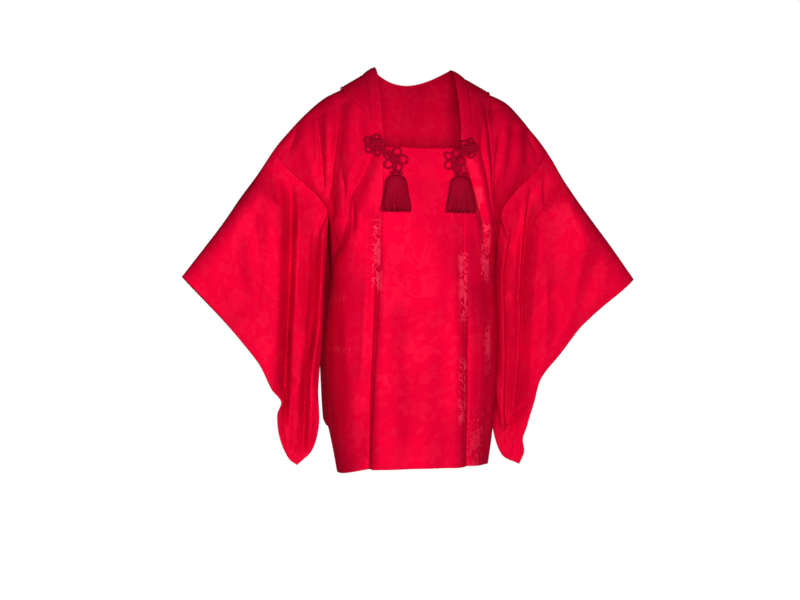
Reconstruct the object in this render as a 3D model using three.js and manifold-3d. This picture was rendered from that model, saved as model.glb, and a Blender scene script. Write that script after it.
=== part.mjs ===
// A woman's michiyuki coat of figured silk with a square neckline and a flat fall collar, in the
// hollow form it takes when worn, and two pairs of corded flower knots with tassels.
// Millimetres, +Z up, the front faces -Y and +X is the side of the wearer's left arm.
// The origin is the middle of the line between the two neck points, where the shoulders hold the coat.
import * as THREE from 'three';
import { mergeVertices } from 'three/addons/utils/BufferGeometryUtils.js';
import Module from 'manifold-3d';

// ---- driving sizes ----
const WALL = 1.6;            // thickness of the lined silk
const SEAM = 0.3;            // parting between pieces that are sewn together
const LAYER = 3;             // from the middle of one layer to the middle of the layer lying on it
const NECK_HALF = 80;        // half the width of the square neckline
const NECK_DROP = 185;       // depth of the square neckline
const NECK_BACK_TURN = 23;   // degrees round the shoulder to the back of the neck opening
const ARMPIT_DROP = 318;     // level of the lower end of the sleeve seam
const ARMHOLE_REACH = 285;   // distance out to the upper end of the sleeve seam
const HEM_FRONT = 824;       // drop of the front hem
const HEM_BACK = 738;        // drop of the back hem, carried up by the sash bow under it
const HEM_SIDE = 750;        // drop of the hem at the side seams, behind the front's corners
const HEM_CORNER_SHARE = 0.88; // share of the half width at the front's lower corner
const FRONT_SQUARENESS = 2.6; // exponent of the rounded-square section of the front
const FRONT = -1;
const BACK = 1;

// The body below the armpits: half width, front and back depth, the place of the side seam,
// half the width of the slit under each sleeve and the squareness of the back.
const TORSO = [
  { drop: 318, half: 181, front: 124, back: 150, seam: 0, slit: 42, square: 2.6 },
  { drop: 360, half: 174, front: 129, back: 176, seam: 3, slit: 29, square: 2.8 },
  { drop: 410, half: 170, front: 133, back: 202, seam: 7, slit: 12, square: 3.1 },
  { drop: 460, half: 171, front: 135, back: 208, seam: 10, slit: 0.15, square: 3.4 },
  { drop: 549, half: 178, front: 135, back: 205, seam: 15, slit: 0.15, square: 3.6 },
  { drop: 640, half: 178, front: 132, back: 198, seam: 20, slit: 0.15, square: 3.6 },
  { drop: 738, half: 172, front: 129, back: 190, seam: 24, slit: 0.15, square: 3.6 },
  { drop: 841, half: 160, front: 127, back: 184, seam: 26, slit: 0.15, square: 3.6 },
];

// Each side: the line from the neck over the shoulder and arm to the wrist (fore is how far it
// lies forward), the sleeve's outer and bottom edges, how far forward its tail hangs, the drop of
// the front hem's corner, the corners of the fall collar and the places of the knots.
const SIDES = {
  right: {
    sign: -1,
    ridge: [
      { reach: 0, drop: 14, fore: 10 }, { reach: 80, drop: 14, fore: 10 },
      { reach: 110, drop: 35, fore: 10 }, { reach: 145, drop: 57, fore: 10 },
      { reach: 184, drop: 78, fore: 10 }, { reach: 226, drop: 115, fore: 12 },
      { reach: 271, drop: 165, fore: 14 }, { reach: 285, drop: 183, fore: 15 },
      { reach: 320, drop: 236, fore: 24 }, { reach: 356, drop: 285, fore: 34 },
      { reach: 390, drop: 335, fore: 44 }, { reach: 430, drop: 388, fore: 54 },
      { reach: 473, drop: 444, fore: 60 },
    ],
    outer: [
      { along: 0, reach: 473, drop: 444 }, { along: 0.24, reach: 396, drop: 525 },
      { along: 0.37, reach: 356, drop: 572 }, { along: 0.5, reach: 319, drop: 620 },
      { along: 0.62, reach: 295, drop: 668 }, { along: 0.695, reach: 275, drop: 694 },
      { along: 0.76, reach: 283, drop: 720 }, { along: 0.86, reach: 278, drop: 766 },
      { along: 0.95, reach: 260, drop: 808 }, { along: 1, reach: 243, drop: 822 },
    ],
    bottom: [
      { along: 0, reach: 188, drop: 590 }, { along: 0.3, reach: 196, drop: 672 },
      { along: 0.58, reach: 196, drop: 742 }, { along: 0.8, reach: 211, drop: 793 },
      { along: 1, reach: 243, drop: 822 },
    ],
    tail: { foreIn: 0, foreOut: 30 },
    hemCorner: 841,
    collar: { tipDrop: 170, cornerReach: 146, cornerDrop: 82, reach: 147 },
    knots: { outerX: -96, outerDrop: 183, innerX: -59, innerDrop: 212, tasselX: -61, radius: 21 },
  },
  left: {
    sign: 1,
    ridge: [
      { reach: 0, drop: 14, fore: 10 }, { reach: 80, drop: 14, fore: 10 },
      { reach: 113, drop: 34, fore: 10 }, { reach: 157, drop: 57, fore: 10 },
      { reach: 181, drop: 66, fore: 10 }, { reach: 204, drop: 79, fore: 10 },
      { reach: 239, drop: 115, fore: 12 }, { reach: 271, drop: 152, fore: 14 },
      { reach: 285, drop: 170, fore: 15 }, { reach: 303, drop: 198, fore: 20 },
      { reach: 328, drop: 248, fore: 27 }, { reach: 362, drop: 299, fore: 36 },
      { reach: 418, drop: 376, fore: 50 }, { reach: 466, drop: 445, fore: 60 },
    ],
    outer: [
      { along: 0, reach: 466, drop: 445 }, { along: 0.26, reach: 373, drop: 527 },
      { along: 0.46, reach: 314, drop: 603 }, { along: 0.6, reach: 275, drop: 654 },
      { along: 0.71, reach: 262, drop: 705 }, { along: 0.82, reach: 248, drop: 756 },
      { along: 0.88, reach: 240, drop: 782 }, { along: 0.94, reach: 244, drop: 810 },
      { along: 1, reach: 234, drop: 836 },
    ],
    bottom: [
      { along: 0, reach: 186, drop: 590 }, { along: 0.3, reach: 183, drop: 672 },
      { along: 0.6, reach: 180, drop: 750 }, { along: 0.85, reach: 198, drop: 816 },
      { along: 1, reach: 234, drop: 836 },
    ],
    tail: { foreIn: -50, foreOut: 0 },
    hemCorner: 828,
    collar: { tipDrop: 153, cornerReach: 152, cornerDrop: 96, reach: 162 },
    knots: { outerX: 94, outerDrop: 184, innerX: 61, innerDrop: 212, tasselX: 70, radius: 20 },
  },
};

// Half the gap between a sleeve's front and back layers, down from the top fold, in five places
// from the armhole (in) to the cuff (out). Edges that are sewn shut keep only the seam's parting.
const SHUT = (WALL + SEAM) / 2;
const FULLNESS = [
  { along: 0, in: 42, inner: 46, middle: 44, outer: 34, out: 20 },
  { along: 0.12, in: 42, inner: 45, middle: 42, outer: 31, out: 17 },
  { along: 0.27, in: 42, inner: 40, middle: 36, outer: 24, out: 8 },
  { along: 0.32, in: 42, inner: 38, middle: 34, outer: 21, out: SHUT },
  { along: 0.44, in: 42, inner: 34, middle: 28, outer: 16, out: SHUT },
  { along: 0.6, in: 26, inner: 24, middle: 20, outer: 10, out: SHUT },
  { along: 0.8, in: 12, inner: 14, middle: 12, outer: 7, out: SHUT },
  { along: 1, in: SHUT, inner: SHUT, middle: SHUT, outer: SHUT, out: SHUT },
];
const FULLNESS_PLACES = [
  { across: 0, name: 'in' }, { across: 0.25, name: 'inner' }, { across: 0.5, name: 'middle' },
  { across: 0.75, name: 'outer' }, { across: 1, name: 'out' },
];
const SLEEVE_LENGTH = 490;   // from the top fold to the bottom seam
const ARMHOLE_SHARE = 0.44;  // part of that length that is sewn to the body
const ARM_ROLL = 60;         // how far down from the fold the sleeve rounds over the arm
const CORNER_PARTING = 1;    // room for the wall where the sleeve turns away from the body

// Soft troughs in the cloth, from one place to another in the front view (x, drop).
const FRONT_TROUGHS = [
  { x0: -156, drop0: 93, x1: -181, drop1: 318, depth: 8, width: 13 },
  { x0: -205, drop0: 118, x1: -190, drop1: 262, depth: 5, width: 12 },
  { x0: -150, drop0: 262, x1: -148, drop1: 340, depth: 4, width: 10 },
  { x0: -104, drop0: 203, x1: -166, drop1: 383, depth: 6, width: 14 },
  { x0: -112, drop0: 330, x1: -128, drop1: 800, depth: 9, width: 20 },
  { x0: 92, drop0: 210, x1: 133, drop1: 325, depth: 6, width: 13 },
  { x0: 163, drop0: 92, x1: 172, drop1: 323, depth: 9, width: 13 },
  { x0: 204, drop0: 138, x1: 178, drop1: 285, depth: 7, width: 13 },
  { x0: 238, drop0: 143, x1: 240, drop1: 200, depth: 5, width: 12 },
  { x0: 116, drop0: 380, x1: 112, drop1: 800, depth: 6, width: 20 },
  { x0: -30, drop0: 420, x1: -22, drop1: 800, depth: 3, width: 30 },
];
const BACK_TROUGHS = [
  { x0: -150, drop0: 95, x1: -172, drop1: 300, depth: 7, width: 15 },
  { x0: 158, drop0: 95, x1: 170, drop1: 300, depth: 7, width: 15 },
  { x0: -70, drop0: 190, x1: -95, drop1: 330, depth: 5, width: 18 },
  { x0: 62, drop0: 180, x1: 90, drop1: 325, depth: 5, width: 18 },
  { x0: -118, drop0: 440, x1: -112, drop1: 740, depth: 9, width: 20 },
  { x0: 108, drop0: 450, x1: 120, drop1: 740, depth: 8, width: 20 },
  { x0: -36, drop0: 520, x1: -44, drop1: 740, depth: 5, width: 22 },
  { x0: 48, drop0: 530, x1: 42, drop1: 740, depth: 4, width: 22 },
];
const SLEEVE_TROUGHS = {
  right: [
    { x0: 259, drop0: 205, x1: 262, drop1: 660, depth: 14, width: 20 },
    { x0: 262, drop0: 660, x1: 248, drop1: 770, depth: 7, width: 15 },
    { x0: 213, drop0: 330, x1: 217, drop1: 540, depth: 8, width: 15 },
    { x0: 217, drop0: 540, x1: 223, drop1: 720, depth: 9, width: 15 },
    { x0: 330, drop0: 330, x1: 345, drop1: 520, depth: 4, width: 28 },
  ],
  left: [
    { x0: 232, drop0: 220, x1: 222, drop1: 480, depth: 13, width: 19 },
    { x0: 222, drop0: 480, x1: 214, drop1: 730, depth: 10, width: 16 },
    { x0: 286, drop0: 250, x1: 290, drop1: 470, depth: 7, width: 26 },
    { x0: 250, drop0: 590, x1: 240, drop1: 730, depth: 6, width: 15 },
  ],
};

// Cords, knots and tassels
const CORD_RADIUS = 1.6;
const KNOT_PETALS = 5;
const KNOT_LIFT = 2.3;       // half the height between strands that cross
const TIE_RADIUS = 4.6;
const TASSEL_TOP_DROP = 243;
const TASSEL_LENGTH = 73;
const TASSEL_HEAD_LENGTH = 14;
const TASSEL_SHOULDER = 22;  // half width of the head's lower rim
const TASSEL_FOOT = 31;      // half width at the lower ends of the strands
const TASSEL_FLATNESS = 0.5; // depth of the tassel as a share of its width
const STRAND_RADIUS = 2.6;
const TASSEL_CLEARANCE = 0.8; // from the cloth to the nearest strands
const CORD_SEAT = 0.9;       // least room under a cord that lies on the body's cloth
const TIE_STAND = 10;        // from the cloth to the axis of the tie at the top of a tassel
const TIE_RISE = 2.1;        // from the top of the tassel up to the middle of its tie
const STRANDS_ROUND = [26, 14];

// ---- helpers ----
const { lerp, clamp, degToRad } = THREE.MathUtils;
const smooth = (t) => THREE.MathUtils.smoothstep(t, 0, 1);

// Reads one column of a table at a place along its key column, as a smooth curve through the rows.
function column(rows, key, name, at) {
  const last = rows.length - 1;
  let i = 0;
  while (i < last - 1 && rows[i + 1][key] < at) i += 1;
  const slope = (j) => {
    const before = rows[Math.max(j - 1, 0)];
    const after = rows[Math.min(j + 1, last)];
    return (after[name] - before[name]) / (after[key] - before[key]);
  };
  const span = rows[i + 1][key] - rows[i][key];
  const t = clamp((at - rows[i][key]) / span, 0, 1);
  const from = rows[i][name] * (2 * t ** 3 - 3 * t ** 2 + 1) + slope(i) * span * (t ** 3 - 2 * t ** 2 + t);
  const to = rows[i + 1][name] * (3 * t ** 2 - 2 * t ** 3) + slope(i + 1) * span * (t ** 3 - t ** 2);
  return from + to;
}

// The value in 0..1 where a rising function reaches a target.
function solve(rising, target) {
  let [low, high] = [0, 1];
  for (let step = 0; step < 30; step += 1) {
    const middle = (low + high) / 2;
    if (rising(middle) < target) low = middle;
    else high = middle;
  }
  return (low + high) / 2;
}

function troughDepth(troughs, x, drop) {
  let depth = 0;
  for (const trough of troughs) {
    const dx = trough.x1 - trough.x0;
    const dd = trough.drop1 - trough.drop0;
    const t = clamp(((x - trough.x0) * dx + (drop - trough.drop0) * dd) / (dx * dx + dd * dd), 0, 1);
    const away = Math.hypot(x - trough.x0 - t * dx, drop - trough.drop0 - t * dd) / trough.width;
    depth += trough.depth * Math.exp(-away * away);
  }
  return depth;
}

// A closed wall round a grid of points: its faces lie half the thickness to each side of the grid,
// and rims close its four edges. The normals come from the grid's own neighbours.
function wall(rowCount, columnCount, pointAt) {
  const grid = [];
  for (let i = 0; i <= rowCount; i += 1) {
    for (let j = 0; j <= columnCount; j += 1) grid.push(pointAt(i, j));
  }
  const stride = columnCount + 1;
  const at = (i, j) => grid[clamp(i, 0, rowCount) * stride + clamp(j, 0, columnCount)];
  const positions = [];
  for (const face of [1, -1]) {
    for (let i = 0; i <= rowCount; i += 1) {
      for (let j = 0; j <= columnCount; j += 1) {
        const along = at(i + 1, j).clone().sub(at(i - 1, j));
        const across = at(i, j + 1).clone().sub(at(i, j - 1));
        const normal = along.cross(across).normalize();
        positions.push(...at(i, j).clone().addScaledVector(normal, (face * WALL) / 2));
      }
    }
  }
  const other = grid.length;
  const faces = [];
  const quad = (a, b, c, d) => faces.push(a, b, c, a, c, d);
  for (let i = 0; i < rowCount; i += 1) {
    for (let j = 0; j < columnCount; j += 1) {
      const [a, b] = [i * stride + j, (i + 1) * stride + j];
      const corners = [a, b, b + 1, a + 1];
      if (grid[a].distanceTo(grid[b + 1]) > grid[b].distanceTo(grid[a + 1])) corners.push(corners.shift());
      quad(...corners);
      quad(...corners.map((corner) => other + corner).reverse());
    }
    const [near, far] = [i * stride, i * stride + columnCount];
    quad(near + stride, near, other + near, other + near + stride);
    quad(far, far + stride, other + far + stride, other + far);
  }
  for (let j = 0; j < columnCount; j += 1) {
    const foot = rowCount * stride + j;
    quad(j, j + 1, other + j + 1, other + j);
    quad(foot + 1, foot, other + foot, other + foot + 1);
  }
  return facingOut(positions, faces);
}

function facingOut(positions, faces) {
  const geometry = new THREE.BufferGeometry();
  geometry.setAttribute('position', new THREE.Float32BufferAttribute(positions, 3));
  let volume = 0;
  const [a, b, c] = [new THREE.Vector3(), new THREE.Vector3(), new THREE.Vector3()];
  for (let f = 0; f < faces.length; f += 3) {
    a.fromArray(positions, 3 * faces[f]);
    b.fromArray(positions, 3 * faces[f + 1]);
    c.fromArray(positions, 3 * faces[f + 2]);
    volume += a.dot(b.cross(c));
  }
  geometry.setIndex(volume > 0 ? faces : faces.reverse());
  geometry.computeVertexNormals();
  return geometry;
}

// ---- the body's cloth ----
const NECK_SHARE = 0.3;      // share of the half width, as sewn, that the neckline takes
const EDGE_CROWDING = 2.2;   // how much closer the grid's lines are near the side seam
const NECK_BACK = NECK_BACK_TURN / 90;

// The line over the shoulder, at a share of the cloth's width from the middle to the armhole.
function ridgePoint(side, share) {
  const reach = share < NECK_SHARE
    ? (NECK_HALF * share) / NECK_SHARE
    : lerp(NECK_HALF, ARMHOLE_REACH, (share - NECK_SHARE) / (1 - NECK_SHARE));
  const drop = column(side.ridge, 'reach', 'drop', reach);
  return new THREE.Vector3(side.sign * reach, -column(side.ridge, 'reach', 'fore', reach), -drop);
}

// The body's section at a level from the armpits down: a rounded square that closes at the side seams.
function torsoPoint(side, share, drop, face) {
  const half = column(TORSO, 'drop', 'half', drop);
  const slit = Math.max(column(TORSO, 'drop', 'slit', drop), SEAM / 2);
  const edge = column(TORSO, 'drop', 'seam', drop) + face * slit;
  const depth = column(TORSO, 'drop', face === FRONT ? 'front' : 'back', drop);
  const neck = NECK_HALF / half;
  const beyond = (share - NECK_SHARE) / (1 - NECK_SHARE);
  const across = beyond < 0 ? (neck * share) / NECK_SHARE : lerp(neck, 1, 1 - (1 - beyond) ** EDGE_CROWDING);
  const square = face === FRONT ? FRONT_SQUARENESS : column(TORSO, 'drop', 'square', drop);
  const bulge = Math.max(1 - across ** square, 0) ** (1 / square);
  return new THREE.Vector3(side.sign * across * half, lerp(edge, face * depth, bulge), -drop);
}

// A point of the body's cloth: level 0 is the shoulder line, 1 the armpits and 2 the hem.
function bodyPoint(side, share, level, face) {
  if (level > 1) {
    const corner = lerp(HEM_FRONT, side.hemCorner, smooth((share - NECK_SHARE) / (0.85 - NECK_SHARE)));
    const middle = face === FRONT ? corner : HEM_BACK;
    const hem = lerp(middle, HEM_SIDE, smooth((share - HEM_CORNER_SHARE) / (1 - HEM_CORNER_SHARE)));
    return torsoPoint(side, share, lerp(ARMPIT_DROP, hem, level - 1), face);
  }
  const top = ridgePoint(side, share);
  const foot = torsoPoint(side, share, ARMPIT_DROP, face);
  const turn = (level * Math.PI) / 2;
  const fall = 1 - Math.cos(turn);
  return new THREE.Vector3(
    lerp(top.x, foot.x, smooth(fall)),
    lerp(top.y, foot.y, Math.sin(turn)),
    lerp(top.z, foot.z, fall),
  );
}

function bodyNormal(side, share, level, face) {
  const step = 1e-3;
  const [left, right] = [Math.max(share - step, 0), Math.min(share + step, 1)];
  const [up, down] = [Math.max(level - step, 0), Math.min(level + step, 2)];
  const across = bodyPoint(side, right, level, face).sub(bodyPoint(side, left, level, face));
  const along = bodyPoint(side, share, down, face).sub(bodyPoint(side, share, up, face));
  return across.cross(along).normalize().multiplyScalar(side.sign * face);
}

// The cloth with its troughs, moved out by the layers that lie under it.
function clothPoint(side, share, level, face, out = 0) {
  const point = bodyPoint(side, share, level, face);
  const troughs = face === FRONT ? FRONT_TROUGHS : BACK_TROUGHS;
  const calm = smooth((1 - share) / 0.12);
  const depth = troughDepth(troughs, point.x, -point.z) * calm;
  return point.addScaledVector(bodyNormal(side, share, level, face), out - depth);
}

// The share of the cloth's width that lies at a distance from the middle.
function shareAt(side, x, level, face) {
  return solve((share) => Math.abs(bodyPoint(side, share, level, face).x), Math.abs(x));
}

// The level of a drop below the neck points, above the armpits.
function levelAt(side, share, drop) {
  const top = -ridgePoint(side, share).z;
  const fall = clamp((drop - top) / (ARMPIT_DROP - top), 0, 1);
  return (Math.acos(1 - fall) * 2) / Math.PI;
}

const NECK_LEVEL = levelAt(SIDES.right, 0, NECK_DROP);
const BODY_COLUMNS = 12;
const FRONT_SHOULDER = [0, 0.08, 0.17, 0.27, 0.37, 0.48, 0.6, NECK_LEVEL, 0.81, 0.9, 1];
const BACK_SHOULDER = [0, 0.07, 0.14, 0.2, NECK_BACK, 0.34, 0.44, 0.56, 0.7, 0.85, 1];
const FRONT_SKIRT = [1.1, 1.2, 1.32, 1.45, 1.6, 1.75, 1.9, 2];
const BACK_SKIRT = [1.1, 1.2, 1.32, 1.45, 1.6, 1.8, 2];

// Each half of the body is one length of cloth from the front hem over the shoulder to the back hem.
function bodyHalf(side) {
  const front = [...FRONT_SHOULDER, ...FRONT_SKIRT].slice(1).reverse();
  const rows = [
    ...front.map((level) => ({ level, face: FRONT })),
    ...[...BACK_SHOULDER, ...BACK_SKIRT].map((level) => ({ level, face: BACK })),
  ];
  const parting = (SEAM / 2 / NECK_HALF) * NECK_SHARE;
  return wall(rows.length - 1, BODY_COLUMNS, (i, j) => {
    const { level, face } = rows[i];
    const neckCurve = Math.sqrt(Math.max(1 - (level / NECK_BACK) ** 2, 0));
    const inner = (face === FRONT ? NECK_SHARE : NECK_SHARE * neckCurve) + parting;
    return clothPoint(side, lerp(inner, 1, j / BODY_COLUMNS), level, face);
  });
}

// ---- the overlap panels ----
const NECK_HEM = NECK_LEVEL + 0.004;
const OVERLAP_LEVELS = [NECK_HEM, ...FRONT_SHOULDER.filter((level) => level > NECK_HEM), ...FRONT_SKIRT];
const OVERLAP_COLUMNS = 8;
const FREE_EDGE_TOP = 82;    // where the upper panel's free edge lies at the neckline
const FREE_EDGE_HEM = 102;   // and at the hem, where it swings out
const UNDER_EDGE = 74;       // where the lower panel's free edge lies
const STEP_IN = 26;          // width over which a panel steps from its seam to its own layer
const EDGE_LIFT = 7;         // how far the free edge stands off at the hem

// A place on the front by its distance from the middle, moved out by layers.
function frontPoint(x, level, out) {
  const side = x < 0 ? SIDES.right : SIDES.left;
  return clothPoint(side, shareAt(side, x, level, FRONT), level, FRONT, out);
}

function upperPanelOut(x, level) {
  const low = smooth((level - 1) / 1);
  const lift = EDGE_LIFT * low * smooth((-x - 30) / 60);
  return LAYER * smooth((NECK_HALF - x) / STEP_IN) + lift;
}

function overlapUpper() {
  return wall(OVERLAP_LEVELS.length - 1, OVERLAP_COLUMNS, (i, j) => {
    const level = OVERLAP_LEVELS[i];
    const free = lerp(FREE_EDGE_TOP, FREE_EDGE_HEM, smooth((level - 0.7) / 1.3));
    const x = lerp(NECK_HALF - SEAM / 2, -free, j / OVERLAP_COLUMNS);
    return frontPoint(x, level, upperPanelOut(x, level));
  });
}

function overlapUnder() {
  return wall(OVERLAP_LEVELS.length - 1, OVERLAP_COLUMNS, (i, j) => {
    const level = OVERLAP_LEVELS[i];
    const x = lerp(-NECK_HALF + SEAM / 2, UNDER_EDGE, j / OVERLAP_COLUMNS);
    const inward = LAYER * smooth((x - UNDER_EDGE + 2 * STEP_IN) / STEP_IN);
    return frontPoint(x, level, -inward);
  });
}

// ---- the neck band and the fall collar ----
const COLLAR_BACK_TURN = 45; // degrees round the shoulder to the collar's edge at the centre back
const BAND_SHARE = 0.34;     // the neck band's share of the collar's width
const COLLAR_LIFT = 2;       // how far the collar's outer edge stands off the shoulder
const COLLAR_STEPS = 8;      // grid steps for the front and for the back half on each side

// One place on the collar: t runs from the right tip (-2) past the shoulder (-1) and the centre
// back (0) to the left tip (2), and width from the neckline (0) to the outer edge (1).
function collarPoint(t, width) {
  const side = t < 0 ? SIDES.right : SIDES.left;
  const { tipDrop, cornerReach, cornerDrop, reach } = side.collar;
  const away = Math.abs(t);
  const out = LAYER + COLLAR_LIFT * width;
  if (away <= 1) {
    const round = (away * Math.PI) / 2;
    const level = lerp(NECK_BACK, COLLAR_BACK_TURN / 90, width) * Math.cos(round);
    const outerShare = shareAt(side, reach, 0, BACK);
    const share = lerp(NECK_SHARE, outerShare, width) * Math.sin(round);
    return clothPoint(side, share, level, BACK, out);
  }
  const down = away - 1;
  const tipLevel = levelAt(side, NECK_SHARE, tipDrop);
  const shoulderShare = shareAt(side, reach, 0, FRONT);
  const cornerShare = shareAt(side, cornerReach, 0.3, FRONT);
  const cornerLevel = levelAt(side, cornerShare, cornerDrop);
  const level = lerp(tipLevel * down, cornerLevel * down, width);
  const share = lerp(NECK_SHARE, lerp(shoulderShare, cornerShare, down), width);
  return clothPoint(side, share, level, FRONT, out);
}

function collarStrip(from, to, columns) {
  const rows = 4 * COLLAR_STEPS;
  return wall(rows, columns, (i, j) => {
    const t = lerp(-2, 2, i / rows);
    return collarPoint(t, lerp(from, to, j / columns));
  });
}

// ---- the sleeves ----
const SLEEVE_COLUMNS = 17;
const SLEEVE_TAIL = [0.52, 0.6, 0.7, 0.8, 0.9, 1];

// The sleeve's outline in the front view: the fold over the arm, the armhole and the open inner
// edge, the cuff and the outer seam, and the bottom seam, filled in between.
function sleeveFlat(side, across, along) {
  const point = (reach, drop) => new THREE.Vector2(reach, drop);
  const wrist = side.outer[0].reach;
  const top = (s) => {
    const reach = lerp(ARMHOLE_REACH, wrist, s);
    return point(reach, column(side.ridge, 'reach', 'drop', reach));
  };
  const edge = (rows, at) => point(column(rows, 'along', 'reach', at), column(rows, 'along', 'drop', at));
  const inner = (t) => {
    const corner = edge(side.bottom, 0);
    if (t <= ARMHOLE_SHARE) {
      const seam = bodyPoint(side, 1, (Math.acos(1 - t / ARMHOLE_SHARE) * 2) / Math.PI, FRONT);
      return point(Math.abs(seam.x), -seam.z);
    }
    const free = (t - ARMHOLE_SHARE) / (1 - ARMHOLE_SHARE);
    const armpit = torsoPoint(side, 1, ARMPIT_DROP, FRONT);
    return point(lerp(Math.abs(armpit.x), corner.x, free), lerp(ARMPIT_DROP, corner.y, free));
  };
  const [s, t] = [across, along];
  const lines = top(s).multiplyScalar(1 - t).addScaledVector(edge(side.bottom, s), t);
  lines.addScaledVector(inner(t), 1 - s).addScaledVector(edge(side.outer, t), s);
  lines.addScaledVector(top(0), -(1 - s) * (1 - t)).addScaledVector(top(1), -s * (1 - t));
  return lines.addScaledVector(inner(1), -(1 - s) * t).addScaledVector(edge(side.outer, 1), -s * t);
}

function sleeveFullness(across, along) {
  const places = FULLNESS_PLACES.map(({ across: place, name }) => (
    { place, half: column(FULLNESS, 'along', name, along) }
  ));
  return Math.max(column(places, 'place', 'half', across), SHUT);
}

function sleevePoint(side, across, along, layer, troughs) {
  const flat = sleeveFlat(side, across, along);
  const reach = lerp(ARMHOLE_REACH, side.outer[0].reach, across);
  const tail = lerp(side.tail.foreIn, side.tail.foreOut, across);
  const fore = lerp(column(side.ridge, 'reach', 'fore', reach), tail, along);
  const rollOver = lerp(ARMHOLE_SHARE * SLEEVE_LENGTH, ARM_ROLL, smooth(across / 0.3));
  const rolled = 1 - Math.min((along * SLEEVE_LENGTH) / rollOver, 1);
  const half = sleeveFullness(across, along) * Math.sqrt(1 - rolled * rolled);
  const settled = smooth(along / 0.12) * smooth(across / 0.1);
  const shift = troughDepth(troughs, flat.x, flat.y) * settled;
  let y = -fore + layer * half + shift;
  if (along <= ARMHOLE_SHARE) {
    const level = (Math.acos(1 - along / ARMHOLE_SHARE) * 2) / Math.PI;
    y = lerp(bodyPoint(side, 1, level, layer).y, y, smooth(across / 0.25));
  }
  // The sleeve's edge stands beside the body's at the armpit and in line with it at the shoulder.
  const turned = Math.min(along / ARMHOLE_SHARE, 1);
  const parting = SEAM + CORNER_PARTING * smooth(turned);
  return new THREE.Vector3(side.sign * (flat.x + parting * (1 - across)), y, -flat.y);
}

// The share of the sleeve's length at a level of the armhole seam.
const seamAlong = (level) => ARMHOLE_SHARE * (1 - Math.cos((level * Math.PI) / 2));

// A sleeve is one length of cloth folded over the arm, front layer and back layer. Along the
// armhole its rows meet the rows of the body's cloth.
function sleeve(name) {
  const front = [...FRONT_SHOULDER.map(seamAlong), ...SLEEVE_TAIL].slice(1).reverse();
  const rows = [
    ...front.map((along) => ({ along, layer: FRONT })),
    ...[...BACK_SHOULDER.map(seamAlong), ...SLEEVE_TAIL].map((along) => ({ along, layer: BACK })),
  ];
  return wall(rows.length - 1, SLEEVE_COLUMNS, (i, j) => {
    const { along, layer } = rows[i];
    return sleevePoint(SIDES[name], j / SLEEVE_COLUMNS, along, layer, SLEEVE_TROUGHS[name]);
  });
}

// ---- cords, knots and tassels ----
// How far a cord lying on the front stands off the body's cloth, for the panel's layer under it.
const coverOut = (x, level) => Math.max(upperPanelOut(x, level), CORD_SEAT);

// A place on the outermost cloth of the front, by distance from the middle and drop, moved out.
function onFront(x, drop, out) {
  const side = x < 0 ? SIDES.right : SIDES.left;
  const level = drop <= ARMPIT_DROP
    ? levelAt(side, shareAt(side, x, NECK_LEVEL, FRONT), drop)
    : 1 + (drop - ARMPIT_DROP) / (HEM_FRONT - ARMPIT_DROP);
  return frontPoint(x, level, coverOut(x, level) + WALL / 2 + out);
}

// A flower knot: one cord that passes twice round the middle and loops out into its petals.
class FlowerKnot extends THREE.Curve {
  constructor(x, drop, radius) {
    super();
    Object.assign(this, { x, drop, radius });
  }

  getPoint(t, target = new THREE.Vector3()) {
    const turn = t * Math.PI * 4;
    const swing = (KNOT_PETALS / 2) * turn;
    const reach = this.radius - CORD_RADIUS;
    const away = reach * (0.62 + 0.38 * Math.cos(swing));
    const out = CORD_RADIUS + SEAM + KNOT_LIFT * (1 + Math.sin(swing));
    return target.copy(onFront(this.x + away * Math.cos(turn), this.drop - away * Math.sin(turn), out));
  }
}

function flowerKnot(x, drop, radius) {
  return new THREE.TubeGeometry(new FlowerKnot(x, drop, radius), 60, CORD_RADIUS, 5, true);
}

// Moves a geometry that is modelled about the tassel's own axis (y up from its top, z outward)
// onto the front, clear of the cloth.
function ontoFront(geometry, x, topDrop, clearance) {
  const position = geometry.getAttribute('position');
  for (let i = 0; i < position.count; i += 1) {
    const [dx, dy, dz] = [position.getX(i), position.getY(i), position.getZ(i)];
    const place = onFront(x, topDrop, 0);
    const below = onFront(x, topDrop - dy, 0);
    const front = Math.min(place.y, below.y) - clearance - dz;
    position.setXYZ(i, x + dx, front, -(topDrop - dy));
  }
  return geometry;
}

function tasselTie(x) {
  const tie = new THREE.TorusGeometry(TIE_RADIUS - 1, 2.4, 6, 12);
  tie.rotateX(Math.PI / 2);
  return ontoFront(tie, x, TASSEL_TOP_DROP - TIE_RISE, TIE_STAND + LAYER - coverOut(x, 1));
}

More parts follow.
